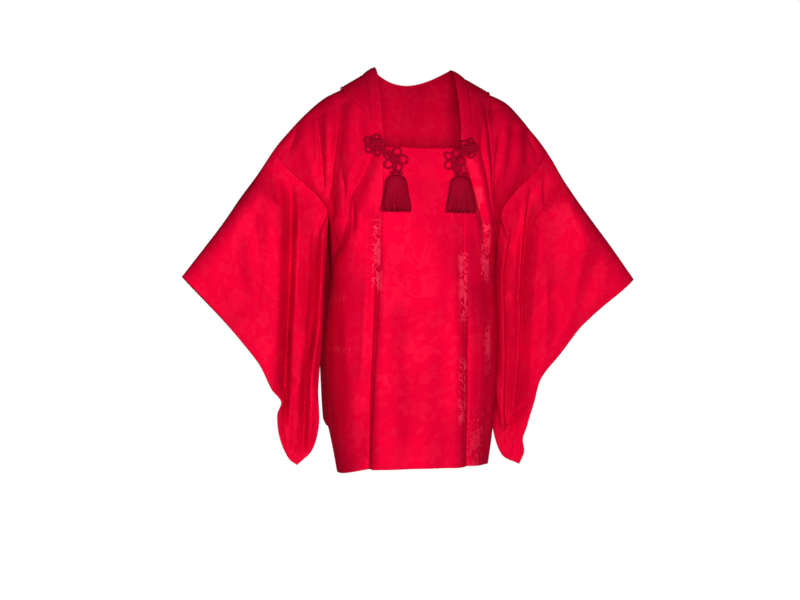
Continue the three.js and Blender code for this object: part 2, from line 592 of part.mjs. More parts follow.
async function tassel(x) {
  const wasm = await Module();
  wasm.setup();
  const solid = (geometry) => {
    const bare = geometry.clone();
    bare.deleteAttribute('normal');
    bare.deleteAttribute('uv');
    const merged = mergeVertices(bare, 1e-3);
    const vertProperties = new Float32Array(merged.getAttribute('position').array);
    const triVerts = new Uint32Array(merged.getIndex().array);
    return new wasm.Manifold(new wasm.Mesh({ numProp: 3, vertProperties, triVerts }));
  };
  const depth = TASSEL_FOOT * TASSEL_FLATNESS;
  const stand = depth + TASSEL_CLEARANCE + LAYER - coverOut(x, 1);
  const place = (geometry) => ontoFront(geometry, x, TASSEL_TOP_DROP, stand);
  const dome = [
    [0, -TASSEL_HEAD_LENGTH], [TASSEL_SHOULDER, -TASSEL_HEAD_LENGTH], [TASSEL_SHOULDER * 0.92, -8],
    [TASSEL_SHOULDER * 0.7, -3.5], [TASSEL_SHOULDER * 0.36, -0.8], [0, 0],
  ];
  const head = new THREE.LatheGeometry(dome.map(([r, y]) => new THREE.Vector2(r, y)), 20);
  head.scale(1, 1, TASSEL_FLATNESS);
  let whole = solid(place(head));
  STRANDS_ROUND.forEach((count, ring) => {
    const inset = ring === 0 ? 1 : 0.5;
    for (let k = 0; k < count; k += 1) {
      const turn = ((k + 0.5 * ring) / count) * 2 * Math.PI;
      const length = TASSEL_LENGTH - TASSEL_HEAD_LENGTH + 2;
      const strand = new THREE.CylinderGeometry(STRAND_RADIUS * 0.7, STRAND_RADIUS, length, 4, 1);
      strand.translate(0, -length / 2, 0);
      const position = strand.getAttribute('position');
      for (let i = 0; i < position.count; i += 1) {
        const fall = -position.getY(i) / length;
        const spread = lerp(TASSEL_SHOULDER, TASSEL_FOOT, fall) * inset - STRAND_RADIUS;
        position.setX(i, position.getX(i) + spread * Math.cos(turn));
        position.setZ(i, position.getZ(i) * 0.7 + spread * Math.sin(turn) * TASSEL_FLATNESS);
        position.setY(i, position.getY(i) - TASSEL_HEAD_LENGTH + 2);
      }
      whole = whole.add(solid(place(strand)));
    }
  });
  const { vertProperties, triVerts } = whole.getMesh();
  const geometry = new THREE.BufferGeometry();
  geometry.setAttribute('position', new THREE.Float32BufferAttribute(vertProperties, 3));
  geometry.setIndex([...triVerts]);
  geometry.computeVertexNormals();
  return geometry;
}

// ---- materials and assembly ----
const silk = new THREE.MeshStandardMaterial({ color: 0xdc0430, roughness: 0.55, metalness: 0 });
const cord = new THREE.MeshStandardMaterial({ color: 0xa0051f, roughness: 0.45, metalness: 0 });

const coat = new THREE.Group();
coat.name = 'michiyuki_coat';

function add(name, geometry, material) {
  const mesh = new THREE.Mesh(geometry, material.clone());
  mesh.name = name;
  coat.add(mesh);
}

for (const name of ['right', 'left']) {
  const { knots } = SIDES[name];
  add(`body_${name}`, bodyHalf(SIDES[name]), silk);
  add(`sleeve_${name}`, sleeve(name), silk);
  add(`knot_${name}_outer`, flowerKnot(knots.outerX, knots.outerDrop, knots.radius), cord);
  add(`knot_${name}_inner`, flowerKnot(knots.innerX, knots.innerDrop, knots.radius), cord);
  add(`tassel_tie_${name}`, tasselTie(knots.tasselX), cord);
  add(`tassel_${name}`, await tassel(knots.tasselX), cord);
}
add('overlap_upper', overlapUpper(), silk);
add('overlap_under', overlapUnder(), silk);
add('neck_band', collarStrip(0, BAND_SHARE - 0.002, 3), silk);
add('fall_collar', collarStrip(BAND_SHARE + 0.002, 1, 5), silk);

export default coat;
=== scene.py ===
import math

import bmesh
import bpy
import numpy as np
from bpy.props import FloatProperty, FloatVectorProperty, PointerProperty
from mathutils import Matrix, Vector


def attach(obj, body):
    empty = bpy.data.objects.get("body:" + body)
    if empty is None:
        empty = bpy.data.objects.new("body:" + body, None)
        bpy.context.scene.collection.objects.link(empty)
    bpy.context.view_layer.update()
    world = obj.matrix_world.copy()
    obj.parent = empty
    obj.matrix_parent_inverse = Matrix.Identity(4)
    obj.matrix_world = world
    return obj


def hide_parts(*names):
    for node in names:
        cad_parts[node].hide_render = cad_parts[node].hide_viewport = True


bl_info = {
    "name": "Michiyuki coat",
    "version": (1, 0, 0),
    "blender": (4, 5, 0),
    "location": "3D View > Sidebar > Coat",
    "description": "Dresses the michiyuki coat in figured silk, corded flower knots and tassels",
    "category": "Object",
}

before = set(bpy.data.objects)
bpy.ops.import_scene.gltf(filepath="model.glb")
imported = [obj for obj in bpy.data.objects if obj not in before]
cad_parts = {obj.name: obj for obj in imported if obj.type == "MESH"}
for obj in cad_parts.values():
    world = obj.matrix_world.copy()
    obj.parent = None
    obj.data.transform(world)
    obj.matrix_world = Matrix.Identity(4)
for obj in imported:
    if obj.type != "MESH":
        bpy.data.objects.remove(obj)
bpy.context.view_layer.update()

# ---- Sizes of the coat, in millimetres: +Z up, the front faces -Y, +X is the wearer's left ----
MM = 0.001
FRONT, BACK = -1, 1
WALL = 1.6                # thickness of the silk
SEWN = 0.06               # half the parting left between two sewn edges
SEAM_DIP = 1.2            # how far the cloth sinks in towards the seam at the centre back
SEAM_DIP_SHARE = 0.012
SHUT = 0.95               # half the way between two layers that touch
LAYER = 3.0               # from one layer of cloth to the layer lying on it
NECK_HALF = 80.0
NECK_DROP = 185.0
NECK_BACK = 23 / 90       # how far round the shoulder the neck opening reaches
NECK_SHARE = 0.3          # share of the cloth's width that is inside the neck's width
NECKLINE_FOLD = 0.004     # from the neckline to the overlaps' upper edges, in levels
ARMPIT_DROP = 318.0
ARMHOLE_REACH = 285.0
HEM_FRONT = 824.0
HEM_BACK = 738.0
HEM_SIDE = 750.0
HEM_TURN = 0.85           # shares of the width between which the front hem reaches its corner
HEM_CORNER_SHARE = 0.88
FRONT_SQUARENESS = 2.6
EDGE_CROWDING = 2.2
TOP_CROWDING = 1.4        # the sleeve's rows lie closer together on top of the arm
CALM_EDGE = 0.12          # share along a cloth's edge over which the folds die out
SETTLING = 0.3            # levels below the shoulder line over which the fine folds begin
SLEEVE_LENGTH = 490.0
ARMHOLE_SHARE = 0.44      # share of the sleeve's length that is sewn to the body
ARM_ROLL = 60.0
CORNER_PARTING = 1.0
FREE_EDGE_TOP = 82.0      # the upper overlap's free edge, from the middle
FREE_EDGE_HEM = 102.0
UNDER_EDGE = 74.0
STEP_IN = 26.0
EDGE_LIFT = 7.0
COLLAR_BACK = 45 / 90
COLLAR_PARTING = 0.002
BAND_SHARE = 0.34         # share of the band and collar together that the band takes
COLLAR_LIFT = 2.0
COLLAR_LINES = ((0.93, 1.5, 0.022), (0.86, 1.1, 0.018), (BAND_SHARE, 1.2, 0.03))  # at, depth, half
CORD_SEAT = 0.9
TASSEL_TOP_DROP = 243.0
TASSEL_LENGTH = 73.0
TASSEL_SHOULDER = 22.0
TASSEL_FOOT = 31.0
TASSEL_FLATNESS = 0.5
TASSEL_CLEARANCE = 0.8
INNER_KNOT_EXTRA = 3.5    # how much larger the inner flowers are
LINK_SHARE = 0.9          # thickness of the linking cords against those in the knots
DOUBLED = 1.05            # from the middle of a doubled cord to each strand, in radii
FULL_TURN = 2 * math.pi

# The room between a sleeve's layers that lets them fold by themselves, and how much of it they take.
OWN_FOLD_ROOM, SWELL_ROOM, OWN_FOLD_SHARE = 14, 8, 0.75

# Shares of a sleeve's width or length over which one shape passes into the next.
ROLL_SHARE, ARMHOLE_CALM, ARMHOLE_TURN, CUFF_CALM, CORNER_START = 0.3, 0.1, 0.25, 0.05, 0.8

# The cloth's own metres, which the weave and the figures follow.
BODY_RUN, SHOULDER_RUN, SKIRT_RUN = 0.3, 0.37, 0.506
SLEEVE_RUN, SLEEVE_DROP_RUN = 0.34, 0.49
COLLAR_RUN, COLLAR_TURN_RUN = 0.067, 0.18


def table(names, *rows):
    """The rows of a short table, as one array for each named column."""
    return {name: np.array(values, float) for name, values in zip(names.split(), zip(*rows))}


TORSO = table(
    "drop half front back seam slit square",
    (318, 181, 124, 150, 0, 42, 2.6),
    (360, 174, 129, 176, 3, 29, 2.8),
    (410, 170, 133, 202, 7, 12, 3.1),
    (460, 171, 135, 208, 10, 0, 3.4),
    (549, 178, 135, 205, 15, 0, 3.6),
    (640, 178, 132, 198, 20, 0, 3.6),
    (738, 172, 129, 190, 24, 0, 3.6),
    (841, 160, 127, 184, 26, 0, 3.6),
)
RIDGE = "reach drop fore"
EDGE = "along reach drop"
SIDES = {
    "right": {
        "sign": -1,
        "ridge": table(
            RIDGE, (0, 14, 10), (80, 14, 10), (110, 35, 10), (145, 57, 10), (184, 78, 10),
            (226, 115, 12), (271, 165, 14), (285, 183, 15), (320, 236, 24), (356, 285, 34),
            (390, 335, 44), (430, 388, 54), (473, 444, 60),
        ),
        "outer": table(
            EDGE, (0, 473, 444), (0.24, 396, 525), (0.37, 356, 572), (0.5, 319, 620),
            (0.62, 295, 668), (0.695, 275, 694), (0.76, 283, 720), (0.86, 278, 766),
            (0.95, 260, 808), (1, 243, 822),
        ),
        "bottom": table(
            EDGE, (0, 188, 590), (0.3, 196, 672), (0.58, 196, 742), (0.8, 211, 793), (1, 243, 822),
        ),
        "tail": (0, 30),
        "hem_corner": 841,
        "collar": (170, 146, 82, 147),
        "knots": ((-96, 183), (-59, 212)),
        "tassel": -61,
        "knot_radius": 21,
    },
    "left": {
        "sign": 1,
        "ridge": table(
            RIDGE, (0, 14, 10), (80, 14, 10), (113, 34, 10), (157, 57, 10), (181, 66, 10),
            (204, 79, 10), (239, 115, 12), (271, 152, 14), (285, 170, 15), (303, 198, 20),
            (328, 248, 27), (362, 299, 36), (418, 376, 50), (466, 445, 60),
        ),
        "outer": table(
            EDGE, (0, 466, 445), (0.26, 373, 527), (0.46, 314, 603), (0.6, 275, 654),
            (0.71, 262, 705), (0.82, 248, 756), (0.88, 240, 782), (0.94, 244, 810), (1, 234, 836),
        ),
        "bottom": table(
            EDGE, (0, 186, 590), (0.3, 183, 672), (0.6, 180, 750), (0.85, 198, 816), (1, 234, 836),
        ),
        "tail": (-50, 0),
        "hem_corner": 828,
        "collar": (153, 152, 96, 162),
        "knots": ((94, 184), (61, 212)),
        "tassel": 70,
        "knot_radius": 20,
    },
}
FULLNESS = table(
    "along in inner middle outer out",
    (0, 42, 46, 44, 34, 20),
    (0.12, 42, 45, 42, 31, 17),
    (0.27, 42, 40, 36, 24, 8),
    (0.32, 42, 38, 34, 21, SHUT),
    (0.44, 42, 34, 28, 16, SHUT),
    (0.6, 26, 24, 20, 10, SHUT),
    (0.8, 12, 14, 12, 7, SHUT),
    (1, SHUT, SHUT, SHUT, SHUT, SHUT),
)

# The broad folds, which the solids have too: x and drop at both ends, depth, half width.
FOLD = "x0 drop0 x1 drop1 depth width"
FRONT_FOLDS = table(
    FOLD,
    (-156, 93, -181, 318, 8, 13), (-205, 118, -190, 262, 5, 12), (-150, 262, -148, 340, 4, 10),
    (-104, 203, -166, 383, 6, 14), (-112, 330, -128, 800, 9, 20), (92, 210, 133, 325, 6, 13),
    (163, 92, 172, 323, 9, 13), (204, 138, 178, 285, 7, 13), (238, 143, 240, 200, 5, 12),
    (116, 380, 112, 800, 6, 20), (-30, 420, -22, 800, 3, 30),
)
# The fine folds: depth, half width and the places they pass. A depth below 0 is a ridge.
FRONT_FINE = (
    (9, 8, (-168, 60), (-167, 124), (-179, 203), (-189, 273), (-197, 370)),
    (5, 6, (-163, 210), (-157, 290), (-153, 380)), (3, 5, (-146, 225), (-143, 290), (-141, 380)),
    (4.6, 7, (-220, 78), (-216, 150), (-211, 240)), (7.4, 8, (-208, 100), (-201, 210), (-195, 350)),
    (6, 9, (-92, 165), (-122, 235), (-150, 288), (-178, 440)), (3.6, 11, (-130, 90), (-121, 220)),
    (5.6, 8, (80, 175), (107, 252), (126, 320), (140, 430)),
    (4.4, 7, (138, 86), (126, 184), (142, 262), (160, 380)),
    (8.6, 8, (138, 60), (152, 150), (157, 220), (158, 375)),
    (6.2, 8, (186, 98), (168, 210), (158, 330)),
    (3.4, 15, (-139, 350), (-147, 700)), (4.6, 16, (-172, 410), (-160, 920)),
    (6.6, 9.5, (-92, 270), (-104, 500), (-112, 700), (-114, 1080)),
    (6.8, 9, (90, 400), (93, 600), (96, 1080)), (-3.4, 15, (60, 380), (66, 620), (66, 1050)),
    (3.6, 14, (139, 350), (147, 740)), (4.4, 14, (153, 470), (136, 940)),
    (2.2, 22, (30, 380), (42, 920)), (2, 20, (-40, 430), (-30, 920)),
    (3.6, 8, (242, 126), (274, 222)), (3.6, 8, (-240, 126), (-268, 216)),
)
BACK_FOLDS = table(
    FOLD,
    (-150, 95, -172, 300, 7, 15), (158, 95, 170, 300, 7, 15), (-70, 190, -95, 330, 5, 18),
    (62, 180, 90, 325, 5, 18), (-118, 440, -112, 740, 9, 20), (108, 450, 120, 740, 8, 20),
    (-36, 520, -44, 740, 5, 22), (48, 530, 42, 740, 4, 22),
)
BACK_FINE = (
    (5.6, 9, (-174, 76), (-180, 190), (-190, 360)), (5.6, 9, (180, 76), (184, 200), (190, 360)),
    (4, 10, (-124, 140), (-140, 250), (-154, 380)), (4, 10, (128, 145), (142, 260), (154, 380)),
    (4.4, 9, (-219, 100), (-212, 200), (-204, 320)), (4.4, 9, (223, 100), (214, 210), (204, 310)),
    (4, 14, (-78, 400), (-82, 600), (-84, 950)), (3.8, 14, (76, 390), (82, 600), (86, 950)),
    (4, 13, (-152, 360), (-148, 600), (-146, 950)), (4, 13, (147, 370), (149, 600), (150, 950)),
    (2.4, 15, (5, 480), (2, 950)),
)
SLEEVE_FOLDS = {
    "right": table(
        FOLD,
        (259, 205, 262, 660, 14, 20), (262, 660, 248, 770, 7, 15), (213, 330, 217, 540, 8, 15),
        (217, 540, 223, 720, 9, 15), (330, 330, 345, 520, 4, 28),
    ),
    "left": table(
        FOLD,
        (232, 220, 222, 480, 13, 19), (222, 480, 214, 730, 10, 16), (286, 250, 290, 470, 7, 26),
        (250, 590, 240, 730, 6, 15),
    ),
}
SLEEVE_FINE = {
    "right": (
        (10, 9.5, (250, 140), (252, 300), (257, 489), (268, 820)),
        (8.6, 9, (198, 270), (203, 534), (219, 640), (232, 880)), (3.2, 8, (285, 170), (285, 310)),
        (4.6, 17, (297, 220), (306, 430), (314, 660)), (3, 16, (399, 375), (365, 545)),
        (3.4, 13, (233, 440), (243, 850)), (3.4, 16, (359, 315), (315, 530)),
        (3.6, 11, (226, 300), (232, 560)),
    ),
    "left": (
        (11, 9.5, (254, 160), (244, 300), (236, 420), (236, 604), (220, 840)),
        (7.6, 8.5, (208, 310), (200, 435), (207, 604), (207, 820)),
        (9, 9.5, (196, 776), (246, 706), (290, 670)), (3.2, 8, (276, 156), (276, 310)),
        (4.6, 17, (326, 250), (310, 440), (296, 640)), (3, 16, (389, 365), (353, 525)),
        (4.2, 12, (266, 410), (255, 720)),
    ),
}

# How a fine fold is shaped across, with distances in its own half widths.
CREASE_WIDTH = 10         # folds narrower than this are creased at the bottom
CREASE_DEPTH, CREASE_SHARPNESS = 1.35, 1.25
SOFT_DEPTH = 1.15
LIP_AWAY, LIP_HEIGHT = 1.8, 0.4
FADE = 0.35               # share of its length over which a fold fades at each end
LEANING_DEPTH, LEANING_POWER = 2.3, 1.5
LEANING_OUTSIDE, LEANING_INSIDE = 0.36, 1.2
LEANING_LIP_AWAY, LEANING_LIP_SHARPNESS = 1.2, 3
LEANING_FADE = 0.22
SWELL, PUCKER = 0.7, 0.32

# How strongly the silk's figures show.
FIGURES_FAINT, FIGURES_UNDER, FIGURES_USUAL, FIGURES_BACK = 0.06, 0.08, 0.1, 0.12
# Painted sheen: where the figures are painted lighter on the front because they catch the light best
# there: x and drop at two corners, strength.
PATCH = "x0 drop0 x1 drop1 strength"
PATCH_FADE_ACROSS, PATCH_FADE_DOWN = 4, 6
FRONT_PAINTED_SHEEN = table(
    PATCH,
    (-104, 330, -88, 470, 1), (68, 392, 89, 530, 1), (68, 605, 88, 735, 0.9), (121, 335, 143, 450, 1),
    (130, 535, 146, 640, 1), (-204, 500, -190, 605, 0.6), (-184, 582, -140, 596, 0.5),
    (-196, 610, -176, 770, 0.6), (108, 262, 124, 335, 0.6),
    (90, 715, 132, 830, 0.55), (-206, 480, -150, 500, 0.4),
)


# ---- Curves and folds ----
def lerp(a, b, t):
    return a + (b - a) * t


def smooth(t):
    t = np.clip(t, 0, 1)
    return t * t * (3 - 2 * t)


def hermite(left, right, slope_left, slope_right, span, t):
    start = left * (2 * t**3 - 3 * t**2 + 1) + slope_left * span * (t**3 - 2 * t**2 + t)
    return start + right * (3 * t**2 - 2 * t**3) + slope_right * span * (t**3 - t**2)


def column(rows, key, name, at):
    """One column of a table along its key column, as a smooth curve through the rows."""
    keys, values = rows[key], rows[name]
    last = len(keys) - 1
    i = np.clip(np.searchsorted(keys, at, side="left") - 1, 0, last - 1)
    after = np.minimum(np.arange(last + 1) + 1, last)
    before = np.maximum(np.arange(last + 1) - 1, 0)
    slopes = (values[after] - values[before]) / (keys[after] - keys[before])
    span = keys[i + 1] - keys[i]
    t = np.clip((at - keys[i]) / span, 0, 1)
    return hermite(values[i], values[i + 1], slopes[i], slopes[i + 1], span, t)


def broad_depth(folds, x, drop):
    """Round troughs along straight lines, added together."""
    total = 0
    for x0, drop0, x1, drop1, depth, width in zip(*folds.values()):
        dx, dd = x1 - x0, drop1 - drop0
        t = np.clip(((x - x0) * dx + (drop - drop0) * dd) / (dx * dx + dd * dd), 0, 1)
        away = np.hypot(x - x0 - t * dx, drop - drop0 - t * dd) / width
        total = total + depth * np.exp(-away ** 2)
    return total


def fine_depth(folds, x, drop, leaning=False):
    """Troughs along the folds, with a low lip beside each.

    A leaning crease slopes gently on the side of the greater x and turns sharply on the other.
    """
    trough, lip, ridge = (np.zeros_like(x) for _ in range(3))
    for depth, width, *path in folds:
        path = np.array(path, float)
        steps = np.diff(path, axis=0)
        lengths = np.hypot(steps[:, 0], steps[:, 1])
        nearest, along, start = np.full_like(x, np.inf), np.zeros_like(x), 0.0
        outside = np.zeros(x.shape, bool)
        for (x0, d0), (dx, dd), length in zip(path, steps, lengths):
            t = np.clip(((x - x0) * dx + (drop - d0) * dd) / length ** 2, 0, 1)
            away = np.hypot(x - x0 - t * dx, drop - d0 - t * dd)
            along = np.where(away < nearest, start + t * length, along)
            outside = np.where(away < nearest, x > x0 + t * dx, outside)
            nearest = np.minimum(nearest, away)
            start += length
        share = along / start
        creased = width < CREASE_WIDTH
        away = nearest / width
        beside = np.exp(-((away - LIP_AWAY) ** 2))
        end = FADE
        if leaning and creased:
            end = LEANING_FADE
            steepness = np.where(outside, LEANING_OUTSIDE, LEANING_INSIDE)
            profile = LEANING_DEPTH * np.maximum(1 - away * steepness, 0) ** LEANING_POWER
            beside = np.exp(-((away - LEANING_LIP_AWAY) ** 2) * LEANING_LIP_SHARPNESS)
            beside = np.where(outside, 0, beside)
        elif creased:
            profile = CREASE_DEPTH * np.exp(-CREASE_SHARPNESS * away)
        else:
            profile = SOFT_DEPTH * np.exp(-away * away)
        fade = depth * smooth(share / end) * smooth((1 - share) / end)
        trough = np.maximum(trough, fade * profile)
        ridge = np.minimum(ridge, fade * profile)
        lip = np.maximum(lip, fade * beside)
    return trough + ridge - LIP_HEIGHT * lip * np.exp(-trough)


def unevenness(x, drop, seed):
    """The slight swelling of hanging silk, about a millimetre deep and longer than it is wide."""
    swell = np.sin(x / 19 + 2.1 * np.sin(drop / 93 + seed) + 1.7 * seed)
    swell = swell + 0.7 * np.sin(x / 31 - drop / 210 + 2.9 * seed)
    pucker = np.sin(x / 8.3 + 1.3 * np.sin(drop / 41 + 2 * seed))
    pucker = pucker * np.sin(drop / 27 + x / 60 + seed)
    return SWELL * swell + PUCKER * pucker


# ---- The body's cloth ----
def ridge_point(side, share):
    inside = NECK_HALF * share / NECK_SHARE
    outside = lerp(NECK_HALF, ARMHOLE_REACH, (share - NECK_SHARE) / (1 - NECK_SHARE))
    reach = np.where(share < NECK_SHARE, inside, outside)
    drop = column(side["ridge"], "reach", "drop", reach)
    return np.stack([side["sign"] * reach, -column(side["ridge"], "reach", "fore", reach), -drop], -1)


def torso_point(side, share, drop, face):
    half = column(TORSO, "drop", "half", drop)
    slit = np.maximum(column(TORSO, "drop", "slit", drop), 0)
    edge = column(TORSO, "drop", "seam", drop) + face * slit
    depth = column(TORSO, "drop", "front" if face == FRONT else "back", drop)
    neck = NECK_HALF / half
    beyond = (share - NECK_SHARE) / (1 - NECK_SHARE)
    crowded = 1 - np.maximum(1 - beyond, 0) ** EDGE_CROWDING
    across = np.where(beyond < 0, neck * share / NECK_SHARE, lerp(neck, 1, crowded))
    square = FRONT_SQUARENESS if face == FRONT else column(TORSO, "drop", "square", drop)
    bulge = np.maximum(1 - np.maximum(across, 0) ** square, 0) ** (1 / square)
    return np.stack([side["sign"] * across * half, lerp(edge, face * depth, bulge), -drop], -1)


def body_point(side, share, level, face):
    """Level 0 is the shoulder line, 1 the armpits and 2 the hem."""
    share, level = np.broadcast_arrays(np.asarray(share, float), np.asarray(level, float))
    turned = smooth((share - NECK_SHARE) / (HEM_TURN - NECK_SHARE))
    corner = lerp(HEM_FRONT, side["hem_corner"], turned)
    middle = corner if face == FRONT else HEM_BACK
    hem = lerp(middle, HEM_SIDE, smooth((share - HEM_CORNER_SHARE) / (1 - HEM_CORNER_SHARE)))
    skirt = torso_point(side, share, lerp(ARMPIT_DROP, hem, np.maximum(level - 1, 0)), face)
    top = ridge_point(side, share)
    foot = torso_point(side, share, np.full_like(share, ARMPIT_DROP), face)
    turn = np.minimum(level, 1) * math.pi / 2
    fall = 1 - np.cos(turn)
    shoulder = np.stack([
        lerp(top[..., 0], foot[..., 0], smooth(fall)),
        lerp(top[..., 1], foot[..., 1], np.sin(turn)),
        lerp(top[..., 2], foot[..., 2], fall),
    ], -1)
    return np.where((level > 1)[..., None], skirt, shoulder)


def body_normal(side, share, level, face):
    step = 1e-3
    across = body_point(side, np.minimum(share + step, 1), level, face)
    across = across - body_point(side, np.maximum(share - step, 0), level, face)
    along = body_point(side, share, np.minimum(level + step, 2), face)
    along = along - body_point(side, share, np.maximum(level - step, 0), face)
    normal = np.cross(across, along)
    normal /= np.maximum(np.linalg.norm(normal, axis=-1, keepdims=True), 1e-9)
    return normal * side["sign"] * face


def cloth_point(side, share, level, face, out=0.0, fine=1.0):
    """A place on the body's cloth with its folds, moved out."""
    point = body_point(side, share, level, face)
    x, drop = point[..., 0], -point[..., 2]
    calm = smooth((1 - share) / CALM_EDGE)
    depth = broad_depth(FRONT_FOLDS if face == FRONT else BACK_FOLDS, x, drop)
    fine_folds = FRONT_FINE if face == FRONT else BACK_FINE
    settled = smooth(level / SETTLING) * fine
    depth = depth + settled * (fine_depth(fine_folds, x, drop) + unevenness(x, drop, 0.4 + face))
    return point + body_normal(side, share, level, face) * (out - depth * calm)[..., None]


def solve(rising, target):
    """Where a rising function of 0 to 1 meets the target."""
    low, high = np.zeros_like(target), np.ones_like(target)
    for _ in range(30):
        middle = (low + high) / 2
        below = rising(middle) < target
        low, high = np.where(below, middle, low), np.where(below, high, middle)
    return (low + high) / 2


def share_at(side, x, level, face):
    """The share of the cloth's width that lies at a distance from the middle."""
    target = np.abs(np.asarray(x, float))
    return solve(lambda share: np.abs(body_point(side, share, level, face)[..., 0]), target)


def level_at(side, share, drop):
    top = -ridge_point(side, np.asarray(share, float))[..., 2]
    fall = np.clip((drop - top) / (ARMPIT_DROP - top), 0, 1)
    return np.arccos(1 - fall) * 2 / math.pi


NECK_LEVEL = float(level_at(SIDES["right"], 0.0, NECK_DROP))


def front_point(x, level, out, fine=1.0):
    """A place on the front by its distance from the middle, moved out by layers."""
    x, level, out = np.broadcast_arrays(*(np.asarray(a, float) for a in (x, level, out)))
    points = np.zeros(x.shape + (3,))
    for side in SIDES.values():
        mask = x < 0 if side["sign"] < 0 else x >= 0
        if mask.any():
            share = share_at(side, x[mask], level[mask], FRONT)
            points[mask] = cloth_point(side, share, level[mask], FRONT, out[mask], fine)
    return points


def upper_panel_out(x, level):
    """How far the upper overlap lies out from the body's front."""
    lifted = EDGE_LIFT * smooth(level - 1) * smooth((-x - 30) / 60)
    return LAYER * smooth((NECK_HALF - x) / STEP_IN) + lifted


def on_front(x, drop, out):
    """A place on the outermost cloth of the front, moved out."""
    x, drop = np.broadcast_arrays(np.asarray(x, float), np.asarray(drop, float))
    level = 1 + (drop - ARMPIT_DROP) / (HEM_FRONT - ARMPIT_DROP)
    for side in SIDES.values():
        mask = (drop <= ARMPIT_DROP) & ((x < 0) == (side["sign"] < 0))
        if mask.any():
            share = share_at(side, x[mask], np.full(mask.sum(), NECK_LEVEL), FRONT)
            level[mask] = level_at(side, share, drop[mask])
    cover = np.maximum(upper_panel_out(x, level), CORD_SEAT)
    return front_point(x, level, cover + WALL / 2 + out, 0.0)


# ---- The neck band, the fall collar and the sleeves ----
def collar_point(t, width, relief):
    """t runs from the right tip (-2) round the back (0) to the left tip (2), width outwards."""
    points = np.zeros(t.shape + (3,))
    for side in SIDES.values():
        tip_drop, corner_reach, corner_drop, reach = side["collar"]
        mask = t < 0 if side["sign"] < 0 else t >= 0
        away, w = np.abs(t[mask]), width[mask]
        out = LAYER + COLLAR_LIFT * w + relief[mask]
        zero = np.zeros(1)
        outer_share = share_at(side, np.full(1, reach), zero, BACK)[0]
        turn = np.minimum(away, 1) * math.pi / 2
        level = lerp(NECK_BACK, COLLAR_BACK, w) * np.cos(turn)
        share = lerp(NECK_SHARE, outer_share, w) * np.sin(turn)
        behind = cloth_point(side, share, level, BACK, out)
        down = np.maximum(away - 1, 0)
        tip_level = level_at(side, NECK_SHARE, tip_drop)
        shoulder_share = share_at(side, np.full(1, reach), zero, FRONT)[0]
        corner_share = share_at(side, np.full(1, corner_reach), zero + 0.3, FRONT)[0]
        corner_level = level_at(side, corner_share, corner_drop)
        level = lerp(tip_level * down, corner_level * down, w)
        share = lerp(NECK_SHARE, lerp(shoulder_share, corner_share, down), w)
        ahead = cloth_point(side, share, level, FRONT, out)
        points[mask] = np.where((away <= 1)[:, None], behind, ahead)
    return points


def sleeve_flat(side, across, along):
    """The sleeve's outline in the front view, filled in between its four edges."""
    def edge(rows, at):
        return np.stack([column(rows, "along", "reach", at), column(rows, "along", "drop", at)], -1)

    def top(s):
        reach = lerp(ARMHOLE_REACH, side["outer"]["reach"][0], s)
        return np.stack([reach, column(side["ridge"], "reach", "drop", reach)], -1)

    def inner(t):
        corner = edge(side["bottom"], np.zeros(1))[0]
        sewn = np.clip(1 - t / ARMHOLE_SHARE, 0, 1)
        seam = body_point(side, np.ones_like(t), np.arccos(sewn) * 2 / math.pi, FRONT)
        free = np.clip((t - ARMHOLE_SHARE) / (1 - ARMHOLE_SHARE), 0, 1)
        armpit = torso_point(side, np.ones(1), np.full(1, ARMPIT_DROP), FRONT)[0]
        hanging = [lerp(abs(armpit[0]), corner[0], free), lerp(ARMPIT_DROP, corner[1], free)]
        on_seam = [np.abs(seam[..., 0]), -seam[..., 2]]
        return np.stack(np.where(t <= ARMHOLE_SHARE, on_seam, hanging), -1)

    s, t = across[..., None], along[..., None]
    one, nought = np.ones(1), np.zeros(1)
    lines = top(across) * (1 - t) + edge(side["bottom"], across) * t
    lines = lines + inner(along) * (1 - s) + edge(side["outer"], along) * s
    corners = top(nought) * (1 - s) * (1 - t) + top(one) * s * (1 - t)
    return lines - corners - inner(one) * (1 - s) * t - edge(side["outer"], one) * s * t


def sleeve_fullness(across, along):
    """Half the way between the sleeve's layers, as a smooth surface through the table."""
    names = [name for name in FULLNESS if name != "along"]
    halves = np.array([column(FULLNESS, "along", name, along) for name in names])
    last = len(names) - 1
    slopes = np.gradient(halves, 1 / last, axis=0)
    i = np.clip((across * last).astype(int), 0, last - 1)
    n = np.arange(len(across))
    t = across * last - i
    value = hermite(halves[i, n], halves[i + 1, n], slopes[i, n], slopes[i + 1, n], 1 / last, t)
    return np.maximum(value, SHUT)


